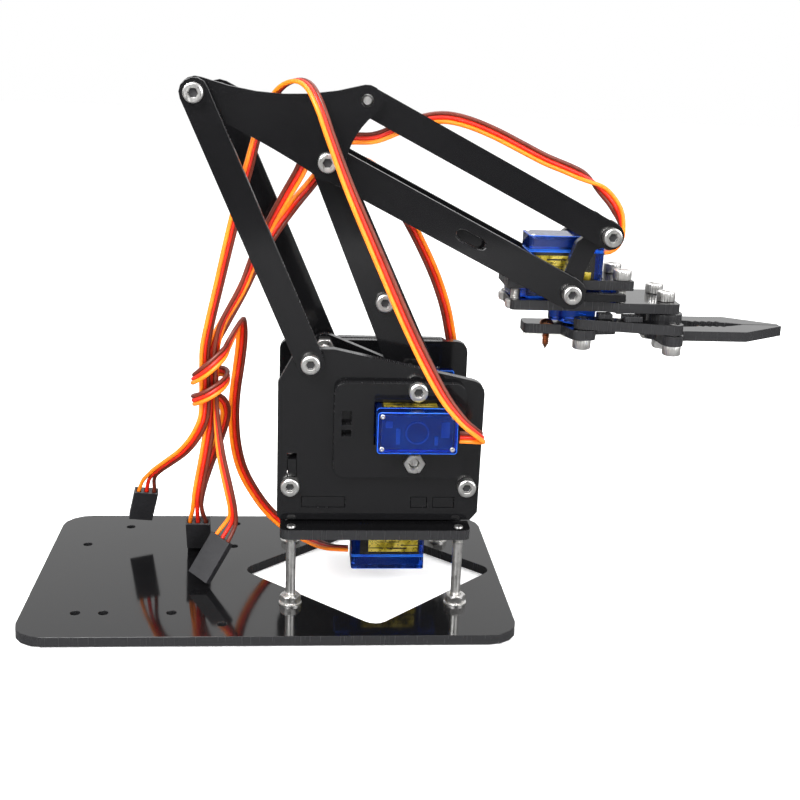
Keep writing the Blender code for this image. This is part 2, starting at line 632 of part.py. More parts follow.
def grip_drive(look, lever_body, link_body):
    """The servo's lever pulls the near jaw through a short link, as a parallelogram."""
    x = GRIP_X
    lever = rounded([(x - 16.5, -4.0, 1.5), (x - 5.5, -5.0, 0), (x - 3.2, -CRANK_PIN - 3.2, 2.0),
                     (x + 3.2, -CRANK_PIN - 3.2, 2.0), (x + 5.5, -5.0, 0), (x + 12.0, -4.0, 1.5),
                     (x + 12.0, 4.0, 1.5), (x - 16.5, 4.0, 1.5)])
    holes = [circle(x, 0, 3.75, 16), circle(x, -CRANK_PIN, BOLT_HOLE)]
    tower_face = WRIST.y + HAND_BACK_Z - TOWER_TOP - 0.4
    plate("grip_lever", lever, holes, "Z", tower_face - SHEET / 2, look, lever_body)
    link_level = JAW_Z + SHEET + GAP
    a = Vector((x, -CRANK_PIN))
    b = Vector((JAW_X, -JAW_PIVOT_Y - CRANK_PIN))
    holes = [circle(p.x, p.y, BOLT_HOLE) for p in (a, b)]
    plate("grip_link", bar(a, b, 2.9), holes, "Z", link_level, look, link_body)


# Leads, as hand-chosen points (x from the column's axis, y, z) from the servo towards the plug
SHOULDER_ROUTE = [
    (22.9, -30.2, 57.0), (25.2, -30.4, 57.0), (27.8, -32.0, 57.4), (28.6, -35.4, 58.6), (26.2, -38.4, 61.0),
    (21.8, -39.2, 65.0), (15.9, -37.4, 72.6), (7.2, -33.6, 88.7), (-1.5, -30.0, 107.4), (-10.0, -27.5, 125.9),
    (-15.2, -26.0, 138.8), (-18.6, -24.4, 147.8), (-21.6, -21.0, 152.8), (-25.2, -16.4, 153.8),
    (-29.4, -13.0, 151.4), (-33.0, -11.2, 145.6), (-35.6, -10.2, 138.5), (-37.8, -9.4, 130.1),
    (-40.6, -8.4, 120.1), (-43.8, -7.4, 107.0), (-46.6, -6.2, 95.0), (-49.2, -4.6, 84.0), (-50.8, -3.2, 76.0),
    (-51.0, -3.1, 70.0), (-51.0, -3.1, 64.0), (-51.0, -3.1, 58.0), (-51.6, -2.8, 53.0), (-54.4, -0.4, 46.6),
    (-58.4, 3.4, 40.8), (-63.4, 8.4, 35.6), (-67.8, 13.0, 31.0)]
ELBOW_ROUTE = [
    (22.9, 30.8, 57.0), (25.0, 30.8, 57.4), (26.8, 30.7, 59.6), (27.8, 30.4, 63.6), (27.6, 29.8, 68.4),
    (26.2, 28.8, 75.4), (24.6, 28.0, 82.0), (22.3, 26.8, 88.7), (19.0, 25.4, 96.4), (14.0, 23.6, 106.0),
    (9.3, 22.4, 114.0), (5.0, 21.6, 121.1), (0.0, 21.2, 127.0), (-5.2, 21.0, 129.6), (-11.0, 20.6, 129.6),
    (-16.6, 18.6, 126.4), (-20.8, 13.4, 122.0), (-25.2, 7.6, 117.2), (-30.6, 4.4, 110.0), (-35.9, 3.0, 101.1),
    (-40.4, 2.2, 91.6), (-45.0, 1.2, 83.0), (-48.6, -0.2, 76.0), (-49.3, -0.3, 70.0), (-49.3, -0.3, 64.0),
    (-49.3, -0.3, 58.0), (-49.6, -0.1, 52.0), (-50.6, 0.2, 45.0), (-51.8, 0.6, 38.0), (-53.0, 1.0, 31.6),
    (-53.8, 1.4, 26.4)]
GRIPPER_ROUTE = [
    (68.0, 0.0, 106.4), (70.2, 0.0, 106.8), (72.2, 0.0, 108.6), (73.4, 0.0, 112.0), (72.6, 0.0, 116.4),
    (70.2, 0.0, 120.8), (66.4, 0.0, 124.8), (61.6, -1.0, 128.2), (55.7, -2.0, 130.8), (47.6, -4.0, 133.8),
    (39.8, -5.0, 137.4), (32.1, -6.0, 140.9), (24.6, -7.0, 143.6), (17.8, -8.0, 144.9), (11.6, -8.6, 144.2),
    (4.5, -9.2, 141.6), (-2.5, -9.5, 138.8), (-8.9, -9.5, 138.4), (-15.2, -9.4, 138.0), (-20.6, -9.0, 134.4),
    (-23.9, -7.6, 127.8), (-27.6, -5.2, 121.0), (-31.8, -3.4, 113.0), (-36.2, -2.6, 103.4), (-40.0, -2.8, 93.6),
    (-45.4, -3.2, 83.6), (-47.4, -3.2, 76.0), (-47.6, -3.1, 70.0), (-47.6, -3.1, 64.0), (-47.6, -3.1, 58.0),
    (-47.2, -4.0, 52.0), (-46.0, -6.4, 43.0), (-43.8, -8.4, 33.4), (-42.5, -8.5, 26.6)]
BASE_ROUTE_IN = [
    (-6.6, 0.0, 10.2), (-9.0, 0.2, 10.2), (-12.6, 2.0, 9.8), (-16.0, 6.4, 9.2), (-19.0, 11.6, 8.8),
    (-22.6, 16.0, 9.0), (-27.0, 18.8, 10.8), (-32.2, 19.6, 15.4), (-36.8, 19.4, 22.0), (-40.6, 18.4, 29.9),
    (-42.6, 16.8, 38.6), (-43.2, 15.2, 48.0), (-42.8, 13.4, 57.0), (-41.6, 11.6, 66.0), (-40.6, 9.6, 74.4),
    (-40.4, 6.4, 80.8), (-40.9, 1.8, 82.0)]
BASE_ROUTE_OUT = [
    (-46.8, 3.9, 57.6), (-45.4, 5.4, 54.4), (-45.8, 7.0, 49.6), (-48.0, 8.4, 42.8), (-50.6, 9.4, 35.8), (-52.8, 9.0, 29.2),
    (-54.1, 8.4, 23.6)]
KNOT_X = -49.3
KNOT_Y = -2.2
KNOT_RADIUS = 5.2
KNOT_TOP = 72.6
KNOT_BOTTOM = 58.6
KNOT_LEAN = 3.6
KNOT_TURNS = 1.75
LEAD_RADIUS = 1.2
LEAD_STEP = 5.2
KNOT_STEP = 3.2

# Plug shells: where the lead enters, then the way down the shell and the way across its wide face
SHOULDER_PLUG = ((-71.6, 20.0, 22.0), (-3.0, 7.0, -12.0), (1.0, 0.1, 0.0))
ELBOW_PLUG = ((-54.1, 6.0, 16.9), (-0.3, 8.2, -11.6), (1.0, 0.0, 0.0))
GRIPPER_PLUG = ((-45.6, -8.6, 17.2), (-7.1, -3.0, -12.2), (0.85, -0.5, 0.0))
BASE_PLUG = ((-54.6, 12.7, 14.5), (-0.3, 10.0, -10.0), (1.0, 0.0, 0.0))
SHELL_LONG = 14.0
SHELL_WIDE = 7.6
SHELL_THICK = 2.6


def knot_turns():
    """The base servo's lead winds down round the other three, each turn leaning to the right."""
    steps = round(12 * KNOT_TURNS)
    points = []
    for i in range(steps + 1):
        share = i / steps
        angle = -2 * math.pi * KNOT_TURNS * share
        z = KNOT_TOP + (KNOT_BOTTOM - KNOT_TOP) * share + KNOT_LEAN * (1 - 0.7 * share) * math.cos(angle)
        points.append((KNOT_X + KNOT_RADIUS * math.cos(angle), KNOT_Y + KNOT_RADIUS * math.sin(angle), z))
    return points


def into_plug(plug):
    """The straight end of a lead, just above its plug's shell."""
    top = Vector(plug[0])
    down = Vector(plug[1]).normalized()
    return [tuple(top - down * (2 * GAP + LEAD_STEP)), tuple(top - down * 2 * GAP)]


def smooth(points, step):
    """Even points along a smooth curve through a route."""
    points = [Vector(p) for p in points]
    points = [points[0] * 2 - points[1], *points, points[-1] * 2 - points[-2]]
    fine = []
    for a, b, c, d in zip(points, points[1:], points[2:], points[3:]):
        for k in range(16):
            t = k / 16
            bend = (2 * a - 5 * b + 4 * c - d) * t * t + (3 * b - a - 3 * c + d) * t ** 3
            fine.append(0.5 * (2 * b + (c - a) * t + bend))
    fine.append(points[-2])
    length = sum((q - p).length for p, q in zip(fine, fine[1:]))
    count = round(length / step)
    even = [fine[0]]
    walked = 0.0
    for p, q in zip(fine, fine[1:]):
        walked += (q - p).length
        if walked >= length * len(even) / count:
            even.append(q)
    even[-1] = fine[-1]
    return even


def lead(name, route, plug, step, look, body):
    """A servo's lead, from its case to its plug."""
    data = bpy.data.curves.new(name, "CURVE")
    data.dimensions = "3D"
    data.bevel_depth = LEAD_RADIUS * MM
    data.bevel_resolution = 2
    data.use_fill_caps = True
    points = smooth([(COLUMN_X + x, y, z) for x, y, z in [*route, *into_plug(plug)]], step)
    spline = data.splines.new("POLY")
    spline.points.add(len(points) - 1)
    for point, place in zip(spline.points, points):
        point.co = (*(place * MM), 1)
    add(name, data, Matrix.Identity(4), look, body)


def connector(name, plug, look, body):
    """A three-way plug shell on a lead's end."""
    top, down, wide = (Vector(item) for item in plug)
    z_axis = down.normalized()
    y_axis = z_axis.cross(wide).normalized()
    x_axis = y_axis.cross(z_axis)
    turn = Matrix((x_axis, y_axis, z_axis)).transposed().to_4x4()
    start = Matrix.Translation((top + Vector((COLUMN_X, 0, 0))) * MM)
    half_wide, half_thick = SHELL_WIDE / 2, SHELL_THICK / 2
    outline = rounded([(-half_wide, -half_thick, 0.5), (half_wide, -half_thick, 0.5),
                       (half_wide, half_thick, 0.5), (-half_wide, half_thick, 0.5)])
    add(name, prism_mesh(name, outline, 0, SHELL_LONG), start @ turn, look, body)


def leads(orange, black, body):
    base_route = BASE_ROUTE_IN + knot_turns() + BASE_ROUTE_OUT
    lead("shoulder_lead", SHOULDER_ROUTE, SHOULDER_PLUG, LEAD_STEP, orange, body)
    lead("elbow_lead", ELBOW_ROUTE, ELBOW_PLUG, LEAD_STEP, orange, body)
    lead("gripper_lead", GRIPPER_ROUTE, GRIPPER_PLUG, LEAD_STEP, orange, body)
    lead("base_lead", base_route, BASE_PLUG, KNOT_STEP, orange, body)
    connector("shoulder_connector", SHOULDER_PLUG, black, body)
    connector("elbow_connector", ELBOW_PLUG, black, body)
    connector("gripper_connector", GRIPPER_PLUG, black, body)
    connector("base_connector", BASE_PLUG, black, body)


def build():
    clear_scene()
    acrylic = material("black_acrylic", (0.012, 0.012, 0.014), 0.16)
    steel = material("stainless_steel", (0.62, 0.62, 0.62), 0.28, 1.0)
    blue = material("servo_blue", (0.01, 0.05, 0.55), 0.18)
    orange = material("lead_orange", (0.9, 0.2, 0.02), 0.4)
    nylon = material("white_nylon", (0.85, 0.85, 0.82), 0.45)
    base = empty("base_frame", COLUMN_X, 0, 0)
    turntable = empty("turntable_axis", COLUMN_X, 0, TURNTABLE_BOTTOM)
    upper = empty("shoulder_axis", SHOULDER.x, 0, SHOULDER.y)
    rear = empty("ear_axis", EAR_PIN.x, 0, EAR_PIN.y)
    elbow = empty("elbow_axis", ELBOW.x, 0, ELBOW.y)
    fore = empty("forearm_axis", ELBOW.x, 0, ELBOW.y)
    top = empty("top_pin_axis", TOP_PIN.x, 0, TOP_PIN.y)
    hand = empty("wrist_axis", WRIST.x, 0, WRIST.y)
    lever = empty("crank_axis", SHOULDER.x, 0, SHOULDER.y)
    pin = empty("crank_pin_axis", CRANK_END.x, 0, CRANK_END.y)
    drive = empty("drive_link_axis", CRANK_END.x, 0, CRANK_END.y)
    near = empty("near_jaw_axis", JAW_X, -JAW_PIVOT_Y, JAW_Z)
    far = empty("far_jaw_axis", JAW_X, JAW_PIVOT_Y, JAW_Z)
    grip = empty("grip_lever_axis", GRIP_X, 0, JAW_Z)
    grip_bar = empty("grip_link_axis", GRIP_X, -CRANK_PIN, JAW_Z)

    base_plate(acrylic, base)
    standoffs(steel, base)
    servo_plate(acrylic, base)
    servo("base_servo", BASE_FRAME, blue, base)

    turntable_plate(acrylic, turntable)
    side_plates(acrylic, turntable)
    collars(acrylic, turntable)
    column_brace(acrylic, turntable)
    column_hardware(steel, turntable)
    horn("yaw_horn", BASE_FRAME, 90, 14.0, nylon, turntable)
    servo("shoulder_servo", SHOULDER_FRAME, blue, turntable)
    servo("elbow_servo", ELBOW_FRAME, blue, turntable)

    upper_arm(acrylic, steel, upper)
    horn("shoulder_horn", SHOULDER_FRAME, 180 - UPPER_ANGLE, 15.0, nylon, upper)
    elbow_hardware(steel, upper)
    rear_link(acrylic, steel, rear)
    triangle_plate(acrylic, elbow)
    forearm(acrylic, steel, fore)
    top_link(acrylic, steel, top)
    crank(acrylic, lever)
    horn("elbow_horn", ELBOW_FRAME, FOREARM_ANGLE, 14.0, nylon, lever)
    drive_link(acrylic, steel, pin, drive)

    hand_frame(acrylic, steel, hand)
    servo("gripper_servo", HAND_FRAME, blue, hand)
    jaws(acrylic, near, far)
    grip_drive(acrylic, grip, grip_bar)
    horn("gripper_horn", HAND_FRAME, 0, 14.0, nylon, grip)
    leads(orange, acrylic, turntable)


build()
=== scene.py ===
"""Looks of the desktop robot arm kit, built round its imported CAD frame.

Lengths are millimetres until a helper turns them into metres. X runs towards the gripper, Y away
from the shoulder servo's side, Z up, as in the CAD.
"""

import json
import math

import bmesh
import bpy
from mathutils import Matrix, Vector


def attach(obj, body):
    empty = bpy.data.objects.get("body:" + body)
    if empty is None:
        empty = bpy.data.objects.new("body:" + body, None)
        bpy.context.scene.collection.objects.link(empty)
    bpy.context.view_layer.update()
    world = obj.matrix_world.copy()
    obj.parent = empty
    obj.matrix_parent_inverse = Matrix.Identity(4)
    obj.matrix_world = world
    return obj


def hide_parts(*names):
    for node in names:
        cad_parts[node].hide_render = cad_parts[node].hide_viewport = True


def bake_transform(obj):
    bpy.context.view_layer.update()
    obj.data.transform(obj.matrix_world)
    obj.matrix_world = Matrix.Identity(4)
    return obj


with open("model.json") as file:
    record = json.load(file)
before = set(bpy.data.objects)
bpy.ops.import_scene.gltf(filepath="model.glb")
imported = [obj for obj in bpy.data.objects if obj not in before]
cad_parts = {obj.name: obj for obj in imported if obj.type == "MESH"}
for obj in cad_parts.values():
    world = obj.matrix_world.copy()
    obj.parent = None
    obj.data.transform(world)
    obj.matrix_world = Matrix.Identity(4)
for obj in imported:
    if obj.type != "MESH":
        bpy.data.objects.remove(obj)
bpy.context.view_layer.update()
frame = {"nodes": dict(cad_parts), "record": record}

MM = 0.001
AS_DRAWN = Matrix.Identity(4)
SHEET = 3.0
GAP = 0.3


def polar(length, degrees):
    return Vector((length * math.cos(math.radians(degrees)), length * math.sin(math.radians(degrees))))


def at(x, y, z):
    return Matrix.Translation(Vector((x, y, z)) * MM)


def put(name, data):
    """A new object in the scene."""
    made = bpy.data.objects.new(name, data)
    bpy.context.scene.collection.objects.link(made)
    return made


# The CAD's own dimensions
LINK = 80.0
UPPER_ARM_ANGLE = 113.6
FOREARM_ANGLE = -26.7
SHOULDER_FORWARD = 16.0
SHOULDER_Z = 59.0
JAW_PIVOT_X = 31.2
JAW_PIVOT_Y = 6.5
JAW_REACH = 38.9
PLATE_BEHIND = 102.0
UPPER_ARM = polar(LINK, UPPER_ARM_ANGLE)
FOREARM = polar(LINK, FOREARM_ANGLE)
COLUMN_X = -(SHOULDER_FORWARD + UPPER_ARM.x + FOREARM.x + JAW_PIVOT_X + JAW_REACH - PLATE_BEHIND) / 2
SHOULDER = Vector((COLUMN_X + SHOULDER_FORWARD, SHOULDER_Z))
ELBOW = SHOULDER + UPPER_ARM
WRIST = ELBOW + FOREARM
REAR_ARM = polar(40.0, 153.7)
TOP_ARM = polar(20.0, 58.0)
CRANK_ARM = polar(35.0, 153.3)
EAR_PIN = SHOULDER + REAR_ARM
REAR_PIN = ELBOW + REAR_ARM
TOP_PIN = ELBOW + TOP_ARM
HAND_PIN = WRIST + TOP_ARM
TAIL_PIN = ELBOW + CRANK_ARM
CRANK_END = SHOULDER + CRANK_ARM
GRIP_X = WRIST.x + 5.6
JAW_X = WRIST.x + JAW_PIVOT_X
JAW_Z = WRIST.y - 12.9
GRIPPER_TOP = WRIST.y - 3.2
EAR_UNDER = 15.9
EAR_THICK = 2.5
HAND_BACK_Z = 15.5
SERVO_PLATE_TOP = 27.5
CLAMP_TOP = WRIST.y + HAND_BACK_Z - EAR_UNDER + GAP + SHEET
CLAMP_X = WRIST.x + 17.4
CRANK_PIN = 10.0
STUD_OFFSET = 24.7
SIDE_OUTER_Y = 21.0
COLLAR_OUTER_Y = SIDE_OUTER_Y + SHEET + GAP
FOREARM_OUTER = 13.8 + SHEET / 2 + GAP
TOWER_TOP = 26.5
SHAFT_TOP = 29.6
SIDES = (("near", -1), ("far", 1))


# ---------------------------------------------------------------- camera
CAMERA_PLACE = (-0.0368, -0.3645, 0.1626)
CAMERA_RIGHT = (0.99566, -0.08538, 0.03705)
CAMERA_FORWARD = (0.09222, 0.95881, -0.26866)
LENS_MM = 55.65
SENSOR_MM = 36.0
LENS_SHIFT = (-0.00776, -0.0045)


def place_camera():
    data = bpy.data.cameras.new("camera")
    data.lens = LENS_MM
    data.sensor_width = SENSOR_MM
    data.shift_x, data.shift_y = LENS_SHIFT
    data.clip_start = 0.01
    camera = put("camera", data)
    right = Vector(CAMERA_RIGHT).normalized()
    forward = Vector(CAMERA_FORWARD).normalized()
    up = right.cross(forward).normalized()
    right = forward.cross(up)
    turn = Matrix((right, up, -forward)).transposed().to_4x4()
    camera.matrix_world = Matrix.Translation(CAMERA_PLACE) @ turn
    bpy.context.scene.camera = camera


place_camera()


# ---------------------------------------------------------------- materials
RANGE_SOCKETS = ("From Min", "From Max", "To Min", "To Max")


class Look:
    """One procedural material, with short ways to add its nodes."""

    def __init__(self, name, colour, roughness, metallic=0.0):
        self.material = bpy.data.materials.new(name)
        self.material.use_nodes = True
        self.tree = self.material.node_tree
        self.shader = self.tree.nodes["Principled BSDF"]
        self.set("Base Color", (*colour, 1.0))
        self.set("Roughness", roughness)
        self.set("Metallic", metallic)
        self.where = None

    def set(self, socket, value):
        self.shader.inputs[socket].default_value = value

    def node(self, kind, **values):
        made = self.tree.nodes.new(kind)
        for key, value in values.items():
            if key in made.inputs:
                made.inputs[key].default_value = value
            else:
                setattr(made, key, value)
        return made

    def link(self, output, socket):
        self.tree.links.new(output, socket)
        return output

    def place(self, scale):
        """Object coordinates, stretched by a scale for each axis."""
        if self.where is None:
            self.where = self.node("ShaderNodeTexCoord").outputs["Object"]
        mapping = self.node("ShaderNodeMapping")
        mapping.inputs["Scale"].default_value = scale
        self.link(self.where, mapping.inputs["Vector"])
        return mapping.outputs["Vector"]

    def noise(self, scale, detail=4.0, stretch=(1, 1, 1)):
        made = self.node("ShaderNodeTexNoise")
        made.inputs["Scale"].default_value = scale
        made.inputs["Detail"].default_value = detail
        self.link(self.place(stretch), made.inputs["Vector"])
        return made.outputs["Fac"]

    def ramp(self, value, low, high, out_low, out_high):
        made = self.node("ShaderNodeMapRange")
        for key, number in zip(RANGE_SOCKETS, (low, high, out_low, out_high)):
            made.inputs[key].default_value = number
        self.link(value, made.inputs["Value"])
        return made.outputs["Result"]

    def colours(self, value, stops):
        made = self.node("ShaderNodeValToRGB")
        ramp = made.color_ramp
        while len(ramp.elements) < len(stops):
            ramp.elements.new(0.5)
        for element, (position, colour) in zip(ramp.elements, stops):
            element.position = position
            element.color = (*colour, 1.0)
        self.link(value, made.inputs["Fac"])
        self.link(made.outputs["Color"], self.shader.inputs["Base Color"])

    def rough(self, value, low, high, out_low, out_high):
        self.link(self.ramp(value, low, high, out_low, out_high), self.shader.inputs["Roughness"])

    def bump(self, value, strength, distance):
        made = self.node("ShaderNodeBump")
        made.inputs["Strength"].default_value = strength
        made.inputs["Distance"].default_value = distance
        self.link(value, made.inputs["Height"])
        self.link(made.outputs["Normal"], self.shader.inputs["Normal"])


def acrylic_face():
    """Cast black acrylic: a mirror gloss with a faint haze of handling and dust."""
    look = Look("black_acrylic_face", (0.004, 0.004, 0.0044), 0.06)
    look.set("IOR", 1.49)
    haze = look.noise(38.0, 5.0)
    look.rough(haze, 0.3, 0.75, 0.05, 0.15)
    dust = look.noise(900.0, 2.0)
    black = (0.004, 0.004, 0.0044)
    look.colours(dust, [(0.0, black), (0.68, black), (0.82, (0.016, 0.016, 0.017))])
    return look.material


def acrylic_edge(name, stretch):
    """A laser-cut edge: fine flutes across the sheet's thickness, a little rougher than the face."""
    look = Look(name, (0.014, 0.014, 0.015), 0.2)
    look.set("IOR", 1.49)
    flutes = look.noise(1.0, 3.0, stretch)
    look.rough(flutes, 0.3, 0.7, 0.13, 0.32)
    look.bump(flutes, 0.35, 0.00008)
    return look.material


def steel_look():
    """Stainless screws: turned, with a tone that varies at random; the dark floors of their sockets are
    painted shade, in a look of their own.
    """
    look = Look("stainless_steel_screws", (0.78, 0.77, 0.75), 0.34, 1.0)
    grain = look.noise(1400.0, 3.0, (1, 1, 0.25))
    look.rough(grain, 0.25, 0.75, 0.24, 0.44)
    tone = look.noise(420.0, 3.0)
    look.colours(tone, [(0.25, (0.64, 0.63, 0.61)), (0.6, (0.93, 0.92, 0.9))])
    return look.material


def copper_look():
    look = Look("bronzed_tapping_screw", (0.42, 0.19, 0.1), 0.3, 1.0)
    grain = look.noise(1200.0, 3.0)
    look.rough(grain, 0.3, 0.7, 0.22, 0.42)
    return look.material


def blue_look(name, deep, pale, clear):
    """Clear blue polycarbonate, its tint mottled at random between a deep and a pale blue."""
    look = Look(name, pale, 0.12)
    look.set("IOR", 1.5)
    look.set("Transmission Weight", clear)
    look.colours(look.noise(140.0, 3.0), [(0.3, deep), (0.7, pale)])
    look.rough(look.noise(60.0, 3.0), 0.3, 0.7, 0.04, 0.11)
    return look.material


def gold_look():
    """Crinkled gold foil, with painted shade and painted highlights that follow the crinkle: dark olive in
    its low places, bright on its high ones.
    """
    look = Look("label_gold", (0.5, 0.38, 0.04), 0.3, 0.75)
    crinkle_and_painted_light = look.noise(210.0, 4.0)
    # Painted shade and painted highlights: the foil's colour darkens and brightens with the crinkle's
    # height.
    look.colours(crinkle_and_painted_light, [(0.34, (0.1, 0.08, 0.01)), (0.47, (0.6, 0.46, 0.04)), (0.56, (1.0, 0.8, 0.16))])
    look.rough(look.noise(800.0, 2.0), 0.3, 0.7, 0.22, 0.4)
    look.bump(crinkle_and_painted_light, 0.4, 0.00012)
    return look.material


def plain_look(name, colour, roughness, grain, strength, metallic=0.0, coat=0.0):
    """A moulded or printed surface with a fine grain."""
    look = Look(name, colour, roughness, metallic)
    look.set("Coat Weight", coat)
    fine = look.noise(grain, 3.0)
    look.rough(fine, 0.3, 0.7, roughness * 0.8, roughness * 1.25)
    darker = tuple(channel * 0.82 for channel in colour)
    look.colours(look.noise(grain * 0.15, 3.0), [(0.3, darker), (0.65, colour)])
    look.bump(fine, strength, 0.00004)
    return look.material


def wire_look(name, colour):
    """Soft PVC insulation with a faint drawn grain."""
    look = Look(name, colour, 0.36)
    look.set("Subsurface Weight", 0.08)
    look.set("Subsurface Radius", (0.002, 0.0006, 0.0003))
    look.set("Subsurface Scale", 0.4)
    tone = look.noise(160.0, 3.0)
    darker = tuple(channel * 0.78 for channel in colour)
    look.colours(tone, [(0.3, darker), (0.62, colour)])
    look.rough(look.noise(900.0, 2.0), 0.3, 0.7, 0.28, 0.46)
    return look.material


FACE = acrylic_face()
EDGE = {
    "X": acrylic_edge("black_acrylic_edge_x", (60, 1700, 1700)),
    "Y": acrylic_edge("black_acrylic_edge_y", (1700, 60, 1700)),
    "Z": acrylic_edge("black_acrylic_edge_z", (1700, 1700, 60)),
}
STEEL = steel_look()
COPPER = copper_look()
# A dark disc in the bottom of each hex socket: painted shade, where the socket lies in shadow.
SOCKET_SHADE = plain_look("painted_socket_shade", (0.04, 0.04, 0.042), 0.5, 900.0, 0.2, metallic=0.6)
BLUE = blue_look("servo_case_blue", (0.006, 0.05, 0.5), (0.02, 0.13, 0.8), 0.95)
# The case's bevelled edges in a brighter, less clear blue: a painted highlight along the edges.
BLUE_PAINTED_RIM_LIGHT = blue_look("servo_case_rim", (0.01, 0.1, 0.95), (0.03, 0.24, 1.0), 0.45)
INNER = plain_look("servo_works", (0.05, 0.07, 0.14), 0.5, 300.0, 0.3)
BOARD = plain_look("servo_board", (0.01, 0.05, 0.1), 0.4, 500.0, 0.3)
CHIPS = plain_look("servo_board_parts", (0.17, 0.24, 0.36), 0.35, 500.0, 0.3)
LABEL_DARK = plain_look("label_black", (0.012, 0.011, 0.01), 0.24, 700.0, 0.05, coat=0.5)
LABEL_GOLD = gold_look()
NYLON = plain_look("white_nylon", (0.82, 0.82, 0.78), 0.42, 900.0, 0.2)
PLUG = plain_look("plug_black", (0.016, 0.016, 0.018), 0.5, 1100.0, 0.35)
CONTACT = plain_look("plug_contact", (0.75, 0.62, 0.35), 0.3, 900.0, 0.1, metallic=1.0)
WIRES = [
    wire_look("wire_orange", (0.86, 0.20, 0.006)),
    wire_look("wire_red", (0.58, 0.014, 0.003)),
    wire_look("wire_brown", (0.125, 0.018, 0.008)),
]


# ---------------------------------------------------------------- mesh helpers
def arc(x, y, radius, start, end, count):
    angles = [math.radians(start + (end - start) * i / count) for i in range(count + 1)]
    return [(x + radius * math.cos(a), y + radius * math.sin(a)) for a in angles]


def circle(x, y, radius, count=24):
    return arc(x, y, radius, 0, 360, count)[:-1]


def rounded(corners):
    """An outline from (x, y, radius) corners, each rounded with an arc; radius 0 stays sharp."""
    points = []
    for i, (x, y, radius) in enumerate(corners):
        if not radius:
            points.append((x, y))
            continue
        here = Vector((x, y))
        before = (Vector(corners[i - 1][:2]) - here).normalized()
        after = (Vector(corners[(i + 1) % len(corners)][:2]) - here).normalized()
        half = before.angle(after) / 2
        centre = here + (before + after).normalized() * radius / math.sin(half)
        start = here + before * radius / math.tan(half) - centre
        end = here + after * radius / math.tan(half) - centre
        turn = start.angle_signed(end)
        count = max(2, round(abs(math.degrees(turn)) / 12))
        for k in range(count + 1):
            points.append(tuple(centre + Matrix.Rotation(-turn * k / count, 2) @ start))
    return points


def box(x0, x1, y0, y1):
    return [(x0, y0), (x1, y0), (x1, y1), (x0, y1)]


def soft_box(x0, x1, y0, y1, radius):
    return rounded([(x0, y0, radius), (x1, y0, radius), (x1, y1, radius), (x0, y1, radius)])


def mesh_from(name, shape):
    data = bpy.data.meshes.new(name)
    shape.to_mesh(data)
    shape.free()
    return data


def dress(data, looks, smooth_angle):
    for look in looks:
        data.materials.append(look)
    data.shade_smooth()
    data.set_sharp_from_angle(angle=math.radians(smooth_angle))
    return data


def finish_mesh(name, shape, looks, smooth_angle=32):
    bmesh.ops.recalc_face_normals(shape, faces=shape.faces)
    return dress(mesh_from(name, shape), looks, smooth_angle)


def applied(piece):
    """A new mesh of a piece, with its modifiers or its curve worked out."""
    bpy.context.view_layer.update()
    graph = bpy.context.evaluated_depsgraph_get()
    return bpy.data.meshes.new_from_object(piece.evaluated_get(graph))


def add_lathe(shape, profile, count, matrix=AS_DRAWN, index=0):
    """Turns rings of (radius or radius function, height) into a closed body; a 0 radius closes it."""
    rings = []
    for radius, height in profile:
        if radius == 0:
            rings.append([shape.verts.new(matrix @ Vector((0, 0, height * MM)))])
            continue
        ring = []
        for i in range(count):
            angle = 2 * math.pi * i / count
            reach = radius(angle, i) if callable(radius) else radius
            local = Vector((reach * math.cos(angle), reach * math.sin(angle), height)) * MM
            ring.append(shape.verts.new(matrix @ local))
        rings.append(ring)
    pairs = list(zip(rings, rings[1:]))
    if len(rings[0]) > 1 and len(rings[-1]) > 1:
        pairs.append((rings[-1], rings[0]))
    for low, high in pairs:
        for i in range(count):
            j = (i + 1) % count
            if len(low) == 1:
                face = shape.faces.new((low[0], high[i], high[j]))
            elif len(high) == 1:
                face = shape.faces.new((low[i], low[j], high[0]))
            else:
                face = shape.faces.new((low[i], low[j], high[j], high[i]))
            face.material_index = index


def add_prism(shape, outline, low, high, matrix=AS_DRAWN, index=0):
    """A solid from an outline in the XY plane, between two heights."""
    bottom = [shape.verts.new(matrix @ (Vector((x, y, low)) * MM)) for x, y in outline]
    top = [shape.verts.new(matrix @ (Vector((x, y, high)) * MM)) for x, y in outline]
    count = len(outline)
    faces = [shape.faces.new(bottom[::-1]), shape.faces.new(top)]
    for i in range(count):
        j = (i + 1) % count
        faces.append(shape.faces.new((bottom[i], bottom[j], top[j], top[i])))
    for face in faces:
        face.material_index = index


def show(name, data, body, replaced=(), matrix=None):
    made = put(name, data)
    if matrix is not None:
        made.matrix_world = matrix
    if body:
        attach(made, body)
    if replaced:
        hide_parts(*replaced)
    return made


def bevel(piece, width, segments=2, angle=38):
    made = piece.modifiers.new("bevel", "BEVEL")
    made.width = width * MM
    made.segments = segments
    made.limit_method = "ANGLE"
    made.angle_limit = math.radians(angle)
    made.harden_normals = True
    made.use_clamp_overlap = True
    return piece


BODY_OF = {node: body for body, nodes in frame["record"]["behaviour"]["bodies"].items() for node in nodes}


# ---------------------------------------------------------------- plates
def cutter_mesh(boxes):
    shape = bmesh.new()
    for low, high in boxes:
        centre = (Vector(low) + Vector(high)) * MM / 2
        size = (Vector(high) - Vector(low)) * MM
        matrix = Matrix.Translation(centre) @ Matrix.Diagonal((*size, 1))
        bmesh.ops.create_cube(shape, size=1, matrix=matrix)
    return mesh_from("cutter", shape)


